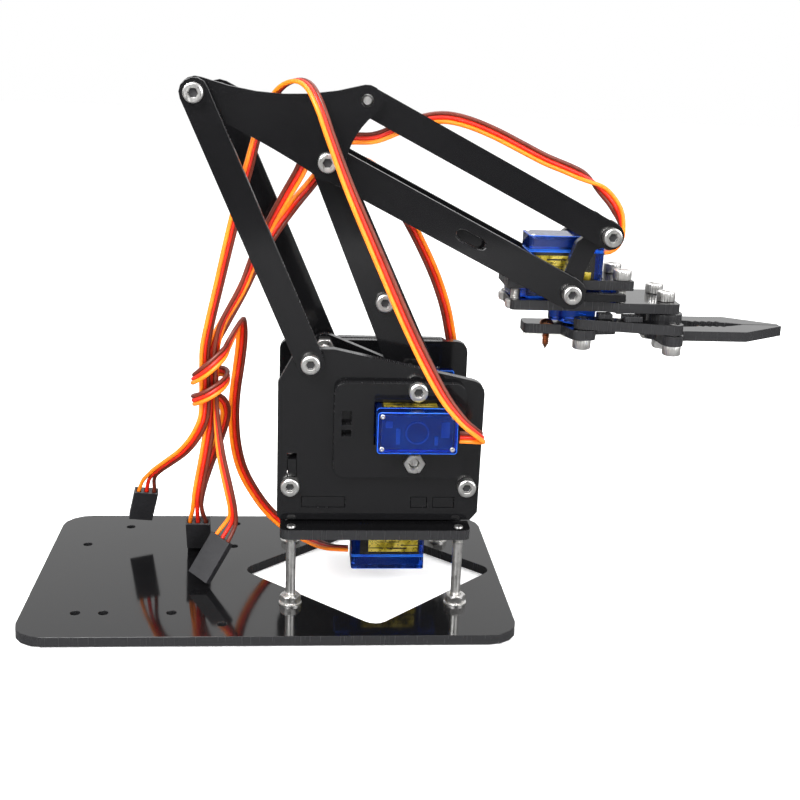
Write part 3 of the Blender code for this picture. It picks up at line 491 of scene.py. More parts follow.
def sheet_piece(node, axis, cuts=()):
    """A cut acrylic plate with its faces, its laser-cut edges and a fine broken corner."""
    shape = bmesh.new()
    shape.from_mesh(frame["nodes"][node].data)
    bmesh.ops.remove_doubles(shape, verts=shape.verts, dist=2e-6)
    bmesh.ops.dissolve_limit(shape, angle_limit=math.radians(0.4), verts=shape.verts, edges=shape.edges)
    data = mesh_from(node + "_sheet", shape)
    if cuts:
        data = with_slots(data, cuts)
    data.materials.clear()
    dress(data, [FACE, EDGE[axis]], 38)
    number = "XYZ".index(axis)
    for face in data.polygons:
        face.material_index = 0 if abs(face.normal[number]) > 0.5 else 1
    made = show(node + "_sheet", data, BODY_OF[node], [node])
    return bevel(made, 0.2)


def with_slots(data, boxes):
    """The same sheet with box-shaped slots cut through it."""
    plate = put("plate_to_cut", data)
    tool = put("slot_cutter", cutter_mesh(boxes))
    cut = plate.modifiers.new("slots", "BOOLEAN")
    cut.object = tool
    cut.operation = "DIFFERENCE"
    cut.solver = "EXACT"
    made = applied(plate)
    made.name = data.name + "_cut"
    bpy.data.objects.remove(plate)
    bpy.data.objects.remove(tool)
    return made


TAB_Z = (31.95, 35.45)
TAB_SPANS = [(COLUMN_X + x0, COLUMN_X + x1) for x0, x1 in ((-21.9, -8.9), (10.4, 15.4), (17.0, 23.5))]
T_SLOT = (COLUMN_X - 26.1, COLUMN_X - 23.3, 41.4, 48.8)
TAB_PLAY = 0.14


def side_slots(side):
    """Openings for the turntable's tabs and the T-slot of a column bolt."""
    y0, y1 = sorted((side * (SIDE_OUTER_Y - SHEET - 1), side * (SIDE_OUTER_Y + 1)))
    openings = [(*span, *TAB_Z) for span in TAB_SPANS] + [T_SLOT]
    return [((x0, y0, z0), (x1, y1, z1)) for x0, x1, z0, z1 in openings]


def tab_pieces(side, name):
    """The turntable's tabs, which fill the side plate's slots a hair below its face."""
    shape = bmesh.new()
    level = sorted((side * (SIDE_OUTER_Y - SHEET - 0.2), side * (SIDE_OUTER_Y - 0.12)))
    flip = Matrix(((1, 0, 0, 0), (0, 0, 1, 0), (0, -1, 0, 0), (0, 0, 0, 1)))
    for x0, x1 in TAB_SPANS:
        outline = box(x0 + TAB_PLAY, x1 - TAB_PLAY, -TAB_Z[1] + TAB_PLAY, -TAB_Z[0] - TAB_PLAY)
        add_prism(shape, outline, level[0], level[1], flip)
    x0, x1, z0, z1 = T_SLOT
    outline = box(x0 + TAB_PLAY, x1 - TAB_PLAY, -z1 + 1.9, -z0 - TAB_PLAY)
    top = level[1] - 0.5 if side > 0 else level[1]
    add_prism(shape, outline, level[0], top, flip)
    data = finish_mesh(name, shape, [FACE])
    bevel(show(name, data, "turntable"), 0.12)


FLAT_SHEETS = (
    "base_plate", "servo_plate", "turntable_plate", "gripper_plate", "front_clamp", "back_clamp",
    "jaw_near", "jaw_far", "grip_lever", "grip_link")
UPRIGHT_SHEETS = (
    "near_collar", "far_collar", "upper_arm_near", "upper_arm_far", "rear_link", "triangle_plate",
    "forearm_near", "forearm_far", "forearm_brace", "top_link", "crank", "drive_link",
    "hand_bracket_near", "hand_bracket_far")


def plates():
    for node in FLAT_SHEETS:
        sheet_piece(node, "Z")
    for node in UPRIGHT_SHEETS:
        sheet_piece(node, "Y")
    sheet_piece("column_brace", "X")
    sheet_piece("near_side_plate", "Y", side_slots(-1))
    sheet_piece("far_side_plate", "Y", side_slots(1))
    tab_pieces(-1, "near_tabs")
    tab_pieces(1, "far_tabs")


# ---------------------------------------------------------------- screws
HEX_FLATS = math.cos(math.pi / 6)
REST = 0.05
UP = (0, 0, 1)
DOWN = (0, 0, -1)
TO_FAR = (0, 1, 0)
TO_NEAR = (0, -1, 0)


def hex_reach(corner):
    def reach(angle, _):
        return corner * HEX_FLATS / math.cos(angle % (math.pi / 3) - math.pi / 6)
    return reach


def hex_under(corner, limit):
    plain = hex_reach(corner)

    def reach(angle, i):
        return min(plain(angle, i), limit)
    return reach


def knurl(radius):
    def reach(_, i):
        return radius - (0.11 if i % 2 else 0.0)
    return reach


def turned_to(x, y, z, direction):
    turn = Vector((0, 0, 1)).rotation_difference(Vector(direction)).to_matrix().to_4x4()
    return at(x, y, z) @ turn


def add_thread(profile, low, high, radius=1.45):
    """Rings of an M3 thread along a shank."""
    z = low
    while z + 0.5 <= high:
        profile += [(radius, z + 0.12), (radius - 0.2, z + 0.28), (radius, z + 0.44)]
        z += 0.5


def add_head(shape, matrix, length, thread_from):
    """A socket head above its underside at height 0, and its shank below, which points along +Z."""
    socket = hex_reach(1.42)
    profile = [(0, -1.2), (socket, -1.5), (socket, -2.85), (hex_reach(1.56), -3.0), (2.3, -3.0)]
    profile += [(2.62, -2.82), (knurl(2.74), -2.6), (knurl(2.74), -0.3), (2.62, -0.12), (2.5, 0), (1.45, 0)]
    add_thread(profile, thread_from, length - 0.4)
    profile += [(1.4, length - 0.4), (1.1, length), (0, length)]
    add_lathe(shape, profile, 60, matrix)
    # The socket's floor is a dark disc with its own look: painted shade in the hex socket.
    floor = [(0, -1.5), (hex_reach(1.38), -1.5), (hex_reach(1.38), -1.1), (0, -1.1)]
    add_lathe(shape, floor, 60, matrix, 1)


def add_nut(shape, matrix, low, tall=2.4, corner=3.17, bore=1.5):
    rim = hex_under(corner, 2.7)
    slope = hex_under(corner, 3.0)
    profile = [(bore, low + 0.3), (bore + 0.25, low), (rim, low), (slope, low + 0.22)]
    profile += [(hex_reach(corner), low + 0.42), (hex_reach(corner), low + tall - 0.42)]
    profile += [(slope, low + tall - 0.22), (rim, low + tall)]
    profile += [(bore + 0.25, low + tall), (bore, low + tall - 0.3)]
    add_lathe(shape, profile, 48, matrix)


def add_washer(shape, matrix, low, tall=0.5, reach=3.4):
    profile = [(1.6, low), (reach, low), (reach, low + tall), (1.6, low + tall)]
    add_lathe(shape, profile, 40, matrix)


def bolt(name, x, y, z, direction, length, body, nut=None, replaced=(), thread_from=0.6):
    shape = bmesh.new()
    matrix = turned_to(x, y, z, direction)
    add_head(shape, matrix, length, thread_from)
    if nut is not None:
        add_nut(shape, matrix, nut)
    show(name, finish_mesh(name, shape, [STEEL, SOCKET_SHADE], 24), body, replaced)


def bolts():
    brace = SHOULDER.lerp(ELBOW, 0.44)
    for name, x in (("left", -25.2), ("right", 26.8)):
        bolt(f"near_column_screw_{name}", COLUMN_X + x, -21.05, 39.0, TO_FAR, 10.0, "turntable",
             replaced=[f"column_bolt_{name}"])
        bolt(f"far_column_screw_{name}", COLUMN_X + x, 21.05, 39.0, TO_NEAR, 10.0, "turntable")
    bolt("ear_screw", EAR_PIN.x, -24.6, EAR_PIN.y, TO_FAR, 11.0, "turntable", 6.9, ["ear_bolt"])
    bolt("rear_screw", REAR_PIN.x, -24.6, REAR_PIN.y, TO_FAR, 12.3, "rear_link", 9.3, ["rear_bolt"])
    bolt("arm_brace_screw", brace.x, -7.0, brace.y, TO_FAR, 11.4, "upper_arm", 8.8, ["upper_arm_bolt"])
    bolt("elbow_screw", ELBOW.x, -18.9, ELBOW.y, TO_FAR, 37.7, "upper_arm", 34.5, ["elbow_bolt"], 20.0)
    for name, side in SIDES:
        bolt(f"wrist_screw_{name}", WRIST.x, side * FOREARM_OUTER, WRIST.y, (0, -side, 0), 9.6, "forearm",
             6.85, [f"wrist_bolt_{name}"])
        bolt(f"jaw_screw_{name}", JAW_X, side * JAW_PIVOT_Y, GRIPPER_TOP + REST, DOWN, 14.5, "hand",
             11.9, [f"jaw_bolt_{name}"])
        bolt(f"clamp_screw_{name}", CLAMP_X, side * 6.2, CLAMP_TOP + REST, DOWN, 10.4, "hand", 6.9)
        bolt(f"back_clamp_screw_{name}", WRIST.x - 14.6, side * 6.2, CLAMP_TOP + REST, DOWN, 9.0, "hand",
             6.6)
    bolt("tail_screw", TAIL_PIN.x, FOREARM_OUTER, TAIL_PIN.y, TO_NEAR, 10.0, "forearm", 6.9, ["tail_bolt"])
    bolt("hand_pin_screw", HAND_PIN.x, -FOREARM_OUTER, HAND_PIN.y, TO_FAR, 9.6, "top_link",
         6.85, ["hand_pin_bolt"])
    bolt("crank_screw", CRANK_END.x, 12.3, CRANK_END.y, TO_NEAR, 12.0, "crank_pin", 8.9, ["crank_bolt"])
    for name, side in SIDES:
        bolt(f"collar_screw_top_{name}", COLUMN_X + 11.0, side * (COLLAR_OUTER_Y + REST), 69.0,
             (0, -side, 0), 9.4, "turntable", 6.6)
        bolt(f"collar_screw_low_{name}", COLUMN_X + 10.6, side * 17.6, 47.5, (0, side, 0),
             7.6, "turntable", 6.75)
    bolt("top_pin_screw", TOP_PIN.x, -7.2, TOP_PIN.y, TO_NEAR, 11.3, "top_link", None)
    under = JAW_Z - SHEET / 2 - REST
    bolt("grip_link_screw", GRIP_X, -CRANK_PIN, under, UP, 6.0, "grip_lever")
    bolt("jaw_link_screw", JAW_X, -JAW_PIVOT_Y - CRANK_PIN, under, UP, 6.0, "near_jaw")


def spacer_stack(name, x, y, low, high, side, body):
    """A stack of cut acrylic squares round a screw, one sheet thick each."""
    shape = bmesh.new()
    level = low
    turn = 0
    while level + 1.0 < high:
        top = min(level + SHEET, high)
        half = side / 2 - 0.25 * (turn % 2)
        outline = soft_box(x - half, x + half, y - half, y + half, 0.8)
        add_prism(shape, outline, level, top - 0.08)
        level = top
        turn += 1
    bevel(show(name, finish_mesh(name, shape, [EDGE["Z"]]), body), 0.2)


def lever_extras():
    """The bronzed screw that ties the horn to its lever, and the blocks on the near link."""
    shape = bmesh.new()
    top = JAW_Z + SHEET / 2
    matrix = turned_to(GRIP_X - 9.4, -2.5, top, DOWN)
    profile = [(0, -1.3), (0.8, -1.25), (1.6, -0.9), (2.1, -0.2), (2.1, 0.0), (1.0, 0.05)]
    z = 0.4
    while z < 6.6:
        profile += [(1.15, z), (0.8, z + 0.3)]
        z += 0.6
    profile += [(0.6, 7.0), (0, 8.2)]
    add_lathe(shape, profile, 24, matrix)
    data = finish_mesh("lever_tapping_screw", shape, [COPPER])
    show("lever_tapping_screw", data, "grip_lever")
    link_top = JAW_Z + SHEET * 1.5 + GAP
    ceiling = GRIPPER_TOP - SHEET - 0.25
    for name, x, y, side in (("left", 6.2, 0.4, 4.4), ("right", 13.8, 3.2, 5.6)):
        spacer_stack(
            f"link_block_{name}", GRIP_X + x, -CRANK_PIN - y, link_top + 0.1, ceiling, side, "grip_link")
    for face, side in SIDES:
        shape = bmesh.new()
        hub = [(1.7, top + 0.1), (5.3, top + 0.1), (5.3, ceiling - 0.15), (1.7, ceiling - 0.15)]
        add_lathe(shape, hub, 40, at(JAW_X, side * JAW_PIVOT_Y, 0))
        name = f"jaw_spacer_{face}"
        bevel(show(name, finish_mesh(name, shape, [EDGE["Z"]]), f"{face}_jaw"), 0.2)


def studs():
    """Threaded studs between the base plate and the servo's plate, with nuts and washers."""
    for side_x, end in ((-1, "left"), (1, "right")):
        for face, side_y in SIDES:
            shape = bmesh.new()
            matrix = at(COLUMN_X + side_x * STUD_OFFSET, side_y * STUD_OFFSET, 0)
            profile = [(0, 0.1), (1.1, 0.1)]
            add_thread(profile, 0.3, 7.0)
            profile += [(1.45, 7.2), (1.45, 22.5)]
            add_thread(profile, 22.6, 27.4)
            profile += [(1.2, 27.8), (0, 27.8)]
            add_lathe(shape, profile, 28, matrix)
            add_washer(shape, matrix, 3.02)
            add_nut(shape, matrix, 3.55)
            name = f"stud_{face}_{end}"
            data = finish_mesh(name, shape, [STEEL], 24)
            show(name, data, "base", [f"standoff_{face}_{end}"])


# ---------------------------------------------------------------- servos
def servo_frame(x, y, z, shaft, along):
    z_axis = Vector(shaft)
    x_axis = Vector(along)
    y_axis = z_axis.cross(x_axis)
    turn = Matrix((x_axis, y_axis, z_axis)).transposed().to_4x4()
    return at(x, y, z) @ turn


SERVO_BACK = SIDE_OUTER_Y - SHEET - GAP + EAR_UNDER
BASE_SERVO_Z = SERVO_PLATE_TOP - SHEET - GAP - EAR_UNDER - EAR_THICK
FRAMES = {
    "shoulder": servo_frame(SHOULDER.x, -SERVO_BACK, SHOULDER.y, (0, 1, 0), (-1, 0, 0)),
    "elbow": servo_frame(SHOULDER.x, SERVO_BACK, SHOULDER.y, (0, -1, 0), (-1, 0, 0)),
    "base": servo_frame(COLUMN_X, 0, BASE_SERVO_Z, (0, 0, 1), (1, 0, 0)),
    "gripper": servo_frame(GRIP_X, 0, WRIST.y + HAND_BACK_Z, (0, 0, -1), (-1, 0, 0)),
}
CASE = (-5.9, 16.9, -6.1, 6.1)
CASE_LAYERS = ((0, 0, 4.3), (0.22, 4.2, 4.75), (0, 4.65, 18.4), (0.22, 18.3, 18.75), (0, 18.65, 22.5))


def inset_box(amount, radius=0.9):
    x0, x1, y0, y1 = CASE
    return soft_box(x0 + amount, x1 - amount, y0 + amount, y1 - amount, radius)


def servo_case(name, matrix, body):
    """Back cover, body with its ears, and top cover, with the gear tower and its lobe."""
    shape = bmesh.new()
    for inset, low, high in CASE_LAYERS:
        add_prism(shape, inset_box(inset), low, high)
    for sign, start in ((-1, CASE[0]), (1, CASE[1])):
        x0, x1 = sorted((start - sign * 0.6, start + sign * 4.7))
        outline = soft_box(x0, x1, -5.9, 5.9, 0.7)
        add_prism(shape, outline, EAR_UNDER, EAR_UNDER + EAR_THICK)
    tower = [(0, 22.2), (5.9, 22.2), (5.9, TOWER_TOP - 0.3), (5.6, TOWER_TOP), (0, TOWER_TOP)]
    add_lathe(shape, tower, 40)
    lobe = Matrix.Translation((0.006, 0, 0))
    low_top = TOWER_TOP - 0.4
    add_lathe(shape, [(0, 22.2), (2.6, 22.2), (2.6, low_top - 0.3), (2.3, low_top), (0, low_top)], 28, lobe)
    data = finish_mesh(name, shape, [BLUE, BLUE_PAINTED_RIM_LIGHT])
    made = show(name, data, body, [name.replace("_case", "")], matrix)
    # The bevels take the brighter rim look, a painted highlight along the case's edges.
    bevel(made, 0.28, 3, 50).modifiers[-1].material = 1


BOARD_PARTS = (
    (-3.6, -1.2, -1.4, 3.2), (-0.4, 0.6, -3.6, -1.0), (10.4, 11.6, -3.4, 1.2), (12.6, 14.6, 1.4, 3.4))


def servo_insides(name, matrix, body):
    """The motor, board and gears that show dimly through the case."""
    shape = bmesh.new()
    add_prism(shape, inset_box(1.3, 0.5), 1.3, 3.4, index=1)
    add_prism(shape, soft_box(4.6, 15.4, -4.8, 4.8, 2.0), 4.9, 17.6)
    add_prism(shape, soft_box(-4.6, 4.0, -4.8, 4.8, 1.0), 4.9, 21.3)
    for edges in BOARD_PARTS:
        add_prism(shape, soft_box(*edges, 0.2), 0.75, 1.35, index=2)
    ring = [(2.9, 0.7), (3.4, 0.7), (3.4, 1.35), (2.9, 1.35)]
    add_lathe(shape, ring, 36, Matrix.Translation((0.0056, 0, 0)), 2)
    data = finish_mesh(name, shape, [INNER, BOARD, CHIPS])
    show(name, data, body, matrix=matrix)


def small_screw(shape, x, y, z, radius):
    """A cross-head case screw, its head facing -Z."""
    profile = [(0, 0.35), (0.26, 0.05), (radius * 0.72, 0.0), (radius, 0.18), (radius, 0.9), (0, 0.9)]
    add_lathe(shape, profile, 20, at(x, y, z))


def servo_trim(name, matrix, body):
    """Case screws and the output spline."""
    shape = bmesh.new()
    for x in (CASE[0] + 1.35, CASE[1] - 1.35):
        for y in (-4.75, 4.75):
            small_screw(shape, x, y, -0.16, 0.72)
    data = finish_mesh(name, shape, [STEEL])
    show(name, data, body, matrix=matrix)
    shape = bmesh.new()

    def spline(_, i):
        return 2.35 if i % 2 else 2.15
    profile = [(0, 26.3), (2.3, 26.3), (spline, 26.6), (spline, SHAFT_TOP - 0.2)]
    profile += [(1.9, SHAFT_TOP), (0, SHAFT_TOP)]
    add_lathe(shape, profile, 42)
    name = name.replace("_screws", "_spline")
    data = finish_mesh(name, shape, [NYLON])
    show(name, data, body, matrix=matrix)


# Left, right, bottom, top, how proud it stands, and 0 for black or 1 for gold
LABEL_PANELS = (
    (-3.2, 15.4, 5.0, 15.2, 0.06, 0), (-2.2, 14.6, 10.6, 14.4, 0.1, 1), (-0.6, 14.8, 5.9, 9.8, 0.1, 1),
    (2.0, 9.0, 9.0, 9.3, 0.14, 0), (9.6, 14.8, 7.9, 8.2, 0.14, 0), (-0.6, 4.4, 7.0, 7.3, 0.14, 0),
    (5.2, 11.4, 6.8, 7.3, 0.14, 0), (1.0, 12.8, 12.9, 13.2, 0.14, 0), (2.4, 6.0, 11.5, 11.9, 0.14, 0),
    (7.6, 13.6, 11.5, 11.8, 0.14, 0))


def servo_label(name, matrix, body):
    """A printed sticker on each long side: a dark ground with gold blocks and rules, no lettering."""
    shape = bmesh.new()
    for sign in (-1, 1):
        stand = Matrix(((1, 0, 0, 0), (0, 0, -sign, 0), (0, 1, 0, 0), (0, 0, 0, 1)))
        for *edges, proud, index in LABEL_PANELS:
            add_prism(shape, box(*edges), CASE[3] - 0.05, CASE[3] + proud, stand, index)
    data = finish_mesh(name, shape, [LABEL_DARK, LABEL_GOLD])
    show(name, data, body, matrix=matrix)


def horn(name, matrix, angle, length, body, replaced):
    """A nylon horn: a hub over the spline, a tapered arm with its row of holes and the centre screw."""
    base = TOWER_TOP + 0.4
    shelf = base + SHEET + GAP
    shape = bmesh.new()
    hub = [(0, SHAFT_TOP + 0.4), (2.7, SHAFT_TOP + 0.4), (2.7, base), (3.4, base), (3.4, shelf + 1.2)]
    hub += [(3.2, shelf + 1.4), (1.5, shelf + 1.4), (1.3, shelf + 0.5), (0, shelf + 0.5)]
    add_lathe(shape, hub, 36)
    data = finish_mesh(name, shape, [NYLON])
    show(name, data, body, replaced, matrix)
    curve = bpy.data.curves.new(name + "_arm", "CURVE")
    curve.dimensions = "2D"
    curve.fill_mode = "BOTH"
    curve.extrude = 0.6
    lean = math.degrees(math.acos(1.0 / length))
    tip = polar(length, angle)
    outline = arc(tip.x, tip.y, 2.0, angle - lean, angle + lean, 10)
    outline += arc(0, 0, 3.0, angle + lean, angle + 360 - lean, 20)
    holes = [circle(*polar(6.0 + 2.1 * k, angle), 0.5, 10) for k in range(int((length - 5) / 2.1) + 1)]
    for loop in [outline, *holes]:
        spline = curve.splines.new("POLY")
        spline.points.add(len(loop) - 1)
        for point, (x, y) in zip(spline.points, loop):
            point.co = (x, y, 0, 1)
        spline.use_cyclic_u = True
    helper = put("arm_outline", curve)
    data = applied(helper)
    bpy.data.objects.remove(helper)
    data.transform(Matrix.Translation((0, 0, (shelf + 0.6) * MM)) @ Matrix.Scale(MM, 4))
    data.materials.clear()
    dress(data, [NYLON], 35)
    show(name + "_arm", data, body, matrix=matrix)
    shape = bmesh.new()
    profile = [(0, 0.55), (0.9, 0.55), (0.9, 1.4), (2.1, 1.45), (2.0, 1.9), (1.0, 2.0), (0.5, 1.5)]
    profile.append((0, 1.0))
    add_lathe(shape, [(radius, shelf + height) for radius, height in profile], 24)
    data = finish_mesh(name + "_screw", shape, [STEEL])
    show(name + "_screw", data, body, matrix=matrix)


def servos():
    bodies = {"shoulder": "turntable", "elbow": "turntable", "base": "base", "gripper": "hand"}
    for name, body in bodies.items():
        matrix = FRAMES[name]
        servo_case(f"{name}_servo_case", matrix, body)
        servo_insides(f"{name}_servo_works", matrix, body)
        servo_trim(f"{name}_servo_screws", matrix, body)
        servo_label(f"{name}_servo_label", matrix, body)
    lean = 180 - UPPER_ARM_ANGLE
    horn("shoulder_horn_hub", FRAMES["shoulder"], lean, 15.0, "upper_arm", ["shoulder_horn"])
    horn("elbow_horn_hub", FRAMES["elbow"], FOREARM_ANGLE, 14.0, "crank", ["elbow_horn"])
    horn("yaw_horn_hub", FRAMES["base"], 90, 14.0, "turntable", ["yaw_horn"])
    horn("gripper_horn_hub", FRAMES["gripper"], 0, 14.0, "grip_lever", ["gripper_horn"])


# ---------------------------------------------------------------- leads
SHOULDER_ROUTE = [
    (22.9, -30.2, 57.0), (25.2, -30.4, 57.0), (27.8, -32.0, 57.4), (28.6, -35.4, 58.6),
    (26.2, -38.4, 61.0), (21.8, -39.2, 65.0), (15.9, -37.4, 72.6), (7.2, -33.6, 88.7),
    (-1.5, -30.0, 107.4), (-10.0, -27.5, 125.9), (-15.2, -26.0, 138.8), (-18.6, -24.4, 147.8),
    (-21.6, -21.0, 152.8), (-25.2, -16.4, 153.8), (-29.4, -13.0, 151.4), (-33.0, -11.2, 145.6),
    (-35.6, -10.2, 138.5), (-37.8, -9.4, 130.1), (-40.6, -8.4, 120.1), (-43.8, -7.4, 107.0),
    (-46.6, -6.2, 95.0), (-49.2, -4.6, 84.0), (-50.8, -3.2, 76.0), (-51.0, -3.1, 70.0),
    (-51.0, -3.1, 64.0), (-51.0, -3.1, 58.0), (-51.6, -2.8, 53.0), (-54.4, -0.4, 46.6),
    (-58.4, 3.4, 40.8), (-63.4, 8.4, 35.6), (-67.8, 13.0, 31.0)]
ELBOW_ROUTE = [
    (22.9, 30.8, 57.0), (25.0, 30.8, 57.4), (26.8, 30.7, 59.6), (27.8, 30.4, 63.6), (27.6, 29.8, 68.4),
    (26.2, 28.8, 75.4), (24.6, 28.0, 82.0), (22.3, 26.8, 88.7), (19.0, 25.4, 96.4), (14.0, 23.6, 106.0),
    (9.3, 22.4, 114.0), (5.0, 21.6, 121.1), (0.0, 21.2, 127.0), (-5.2, 21.0, 129.6), (-11.0, 20.6, 129.6),
    (-16.6, 18.6, 126.4), (-20.8, 13.4, 122.0), (-25.2, 7.6, 117.2), (-30.6, 4.4, 110.0),
    (-35.9, 3.0, 101.1), (-40.4, 2.2, 91.6), (-45.0, 1.2, 83.0), (-48.6, -0.2, 76.0), (-49.3, -0.3, 70.0),
    (-49.3, -0.3, 64.0), (-49.3, -0.3, 58.0), (-49.6, -0.1, 52.0), (-50.6, 0.2, 45.0), (-51.8, 0.6, 38.0),
    (-53.0, 1.0, 31.6), (-53.8, 1.4, 26.4)]
GRIPPER_ROUTE = [
    (68.0, 0.0, 106.4), (70.2, 0.0, 106.8), (72.2, 0.0, 108.6), (73.4, 0.0, 112.0), (72.6, 0.0, 116.4),
    (70.2, 0.0, 120.8), (66.4, 0.0, 124.8), (61.6, -1.0, 128.2), (55.7, -2.0, 130.8), (47.6, -4.0, 133.8),
    (39.8, -5.0, 137.4), (32.1, -6.0, 140.9), (24.6, -7.0, 143.6), (17.8, -8.0, 144.9),
    (11.6, -8.6, 144.2), (4.5, -9.2, 141.6), (-2.5, -9.5, 138.8), (-8.9, -9.5, 138.4),
    (-15.2, -9.4, 138.0), (-20.6, -9.0, 134.4), (-23.9, -7.6, 127.8), (-27.6, -5.2, 121.0),
    (-31.8, -3.4, 113.0), (-36.2, -2.6, 103.4), (-40.0, -2.8, 93.6), (-45.4, -3.2, 83.6),
    (-47.4, -3.2, 76.0), (-47.6, -3.1, 70.0), (-47.6, -3.1, 64.0), (-47.6, -3.1, 58.0),
    (-47.2, -4.0, 52.0), (-46.0, -6.4, 43.0), (-43.8, -8.4, 33.4), (-42.5, -8.5, 26.6)]
BASE_ROUTE_IN = [
    (-6.6, 0.0, 10.2), (-9.0, 0.2, 10.2), (-12.6, 2.0, 9.8), (-16.0, 6.4, 9.2), (-19.0, 11.6, 8.8),
    (-22.6, 16.0, 9.0), (-27.0, 18.8, 10.8), (-32.2, 19.6, 15.4), (-36.8, 19.4, 22.0),
    (-40.6, 18.4, 29.9), (-42.6, 16.8, 38.6), (-43.2, 15.2, 48.0), (-42.8, 13.4, 57.0),
    (-41.6, 11.6, 66.0), (-40.6, 9.6, 74.4), (-40.4, 6.4, 80.8), (-40.9, 1.8, 82.0)]
BASE_ROUTE_OUT = [
    (-46.8, 3.9, 57.6), (-45.4, 5.4, 54.4), (-45.8, 7.0, 49.6), (-48.0, 8.4, 42.8), (-50.6, 9.4, 35.8),
    (-52.8, 9.0, 29.2), (-54.1, 8.4, 23.6)]
KNOT_X = -49.3
KNOT_Y = -2.2
KNOT_RADIUS = 5.2
KNOT_TOP = 72.6
KNOT_BOTTOM = 58.6
KNOT_LEAN = 3.6
KNOT_TURNS = 1.75
LEAD_STEP = 5.2
# Each plug's top, the way that it points, and the way across it
PLUGS = {
    "shoulder": ((-71.6, 20.0, 22.0), (-3.0, 7.0, -12.0), (1.0, 0.1, 0.0)),
    "elbow": ((-54.1, 6.0, 16.9), (-0.3, 8.2, -11.6), (1.0, 0.0, 0.0)),
    "gripper": ((-45.6, -8.6, 17.2), (-7.1, -3.0, -12.2), (0.85, -0.5, 0.0)),
    "base": ((-54.6, 12.7, 14.5), (-0.3, 10.0, -10.0), (1.0, 0.0, 0.0)),
}
WIRE_RADIUS = 0.63
WIRE_PITCH = 1.2
SAMPLE = 1.6
PIN_PITCH = 2.54
ANY_WAY = Vector((0.31, 0.77, 0.55))


def knot_turns():
    """The base servo's lead winds down round the other three, each turn leaning to the right."""
    steps = round(12 * KNOT_TURNS)
    points = []
    for i in range(steps + 1):
        share = i / steps
        angle = -2 * math.pi * KNOT_TURNS * share
        z = KNOT_TOP + (KNOT_BOTTOM - KNOT_TOP) * share + KNOT_LEAN * (1 - 0.7 * share) * math.cos(angle)
        points.append((KNOT_X + KNOT_RADIUS * math.cos(angle), KNOT_Y + KNOT_RADIUS * math.sin(angle), z))
    return points


def into_plug(plug):
    top = Vector(plug[0])
    down = Vector(plug[1]).normalized()
    return [tuple(top - down * (2 * GAP + LEAD_STEP)), tuple(top - down * 2 * GAP), tuple(top + down * 0.9)]


def smooth(route):
    """Points about SAMPLE apart along a smooth curve through a route, and where each lies in the route."""
    points = [Vector((COLUMN_X + x, y, z)) for x, y, z in route]
    points = [points[0] * 2 - points[1], *points, points[-1] * 2 - points[-2]]
    fine = []
    for number, (a, b, c, d) in enumerate(zip(points, points[1:], points[2:], points[3:])):
        for k in range(24):
            t = k / 24
            bend = (2 * a - 5 * b + 4 * c - d) * t * t + (3 * b - a - 3 * c + d) * t ** 3
            fine.append((0.5 * (2 * b + (c - a) * t + bend), number + t))
    fine.append((points[-2], len(route) - 1.0))
    length = sum((q[0] - p[0]).length for p, q in zip(fine, fine[1:]))
    count = round(length / SAMPLE)
    even = [fine[0]]
    walked = 0.0
    for p, q in zip(fine, fine[1:]):
        walked += (q[0] - p[0]).length
        if walked >= length * len(even) / count:
            even.append(q)
    even[-1] = fine[-1]
    return [e[0] for e in even], [e[1] for e in even]


def nearest(places, place):
    return min(range(len(places)), key=lambda k: abs(places[k] - place))


def ribbon_frames(points, places, wanted):
    """The way across the ribbon at each point: a twist-free frame, turned to meet each wanted direction."""
    tangents = []
    for i in range(len(points)):
        ahead = points[min(i + 1, len(points) - 1)] - points[max(i - 1, 0)]
        tangents.append(ahead.normalized())
    side = (ANY_WAY - tangents[0] * ANY_WAY.dot(tangents[0])).normalized()
    sides = [side]
    for a, b in zip(tangents, tangents[1:]):
        side = a.rotation_difference(b) @ side
        side = (side - b * side.dot(b)).normalized()
        sides.append(side)
    angles = []
    keys = []
    for place, direction in sorted(wanted, key=lambda item: item[0]):
        i = nearest(places, place)
        want = Vector(direction)
        want = want - tangents[i] * want.dot(tangents[i])
        other = tangents[i].cross(sides[i])
        angle = math.atan2(want.dot(other), want.dot(sides[i]))
        if angles:
            angle += 2 * math.pi * round((angles[-1] - angle) / (2 * math.pi))
        angles.append(angle)
        keys.append(i)
    across = []
    for i in range(len(points)):
        after = next((n for n, key in enumerate(keys) if key >= i), len(keys) - 1)
        before = max(after - 1, 0)
        span = keys[after] - keys[before]
        share = 1.0 if span <= 0 else min(max((i - keys[before]) / span, 0.0), 1.0)
        share = share * share * (3 - 2 * share)
        angle = angles[before] + (angles[after] - angles[before]) * share
        other = tangents[i].cross(sides[i])
        across.append(sides[i] * math.cos(angle) + other * math.sin(angle))
    return tangents, across


def ribbon_mesh(name, points, tangents, across, spread, sway):
    """Three insulated wires side by side."""
    shape = bmesh.new()
    count = 12
    for wire in (-1, 0, 1):
        rings = []
        for i, (point, tangent, side) in enumerate(zip(points, tangents, across)):
            normal = tangent.cross(side)
            centre = point + side * wire * WIRE_PITCH * spread[i] + normal * wire * sway[i]
            ring = []
            for k in range(count):
                angle = 2 * math.pi * k / count
                offset = (side * math.cos(angle) + normal * math.sin(angle)) * WIRE_RADIUS
                ring.append(shape.verts.new((centre + offset) * MM))
            rings.append(ring)
        faces = [shape.faces.new(rings[0][::-1]), shape.faces.new(rings[-1])]
        for low, high in zip(rings, rings[1:]):
            for k in range(count):
                j = (k + 1) % count
                faces.append(shape.faces.new((low[k], low[j], high[j], high[k])))
        for face in faces:
            face.material_index = wire + 1
    return finish_mesh(name, shape, WIRES, 40)


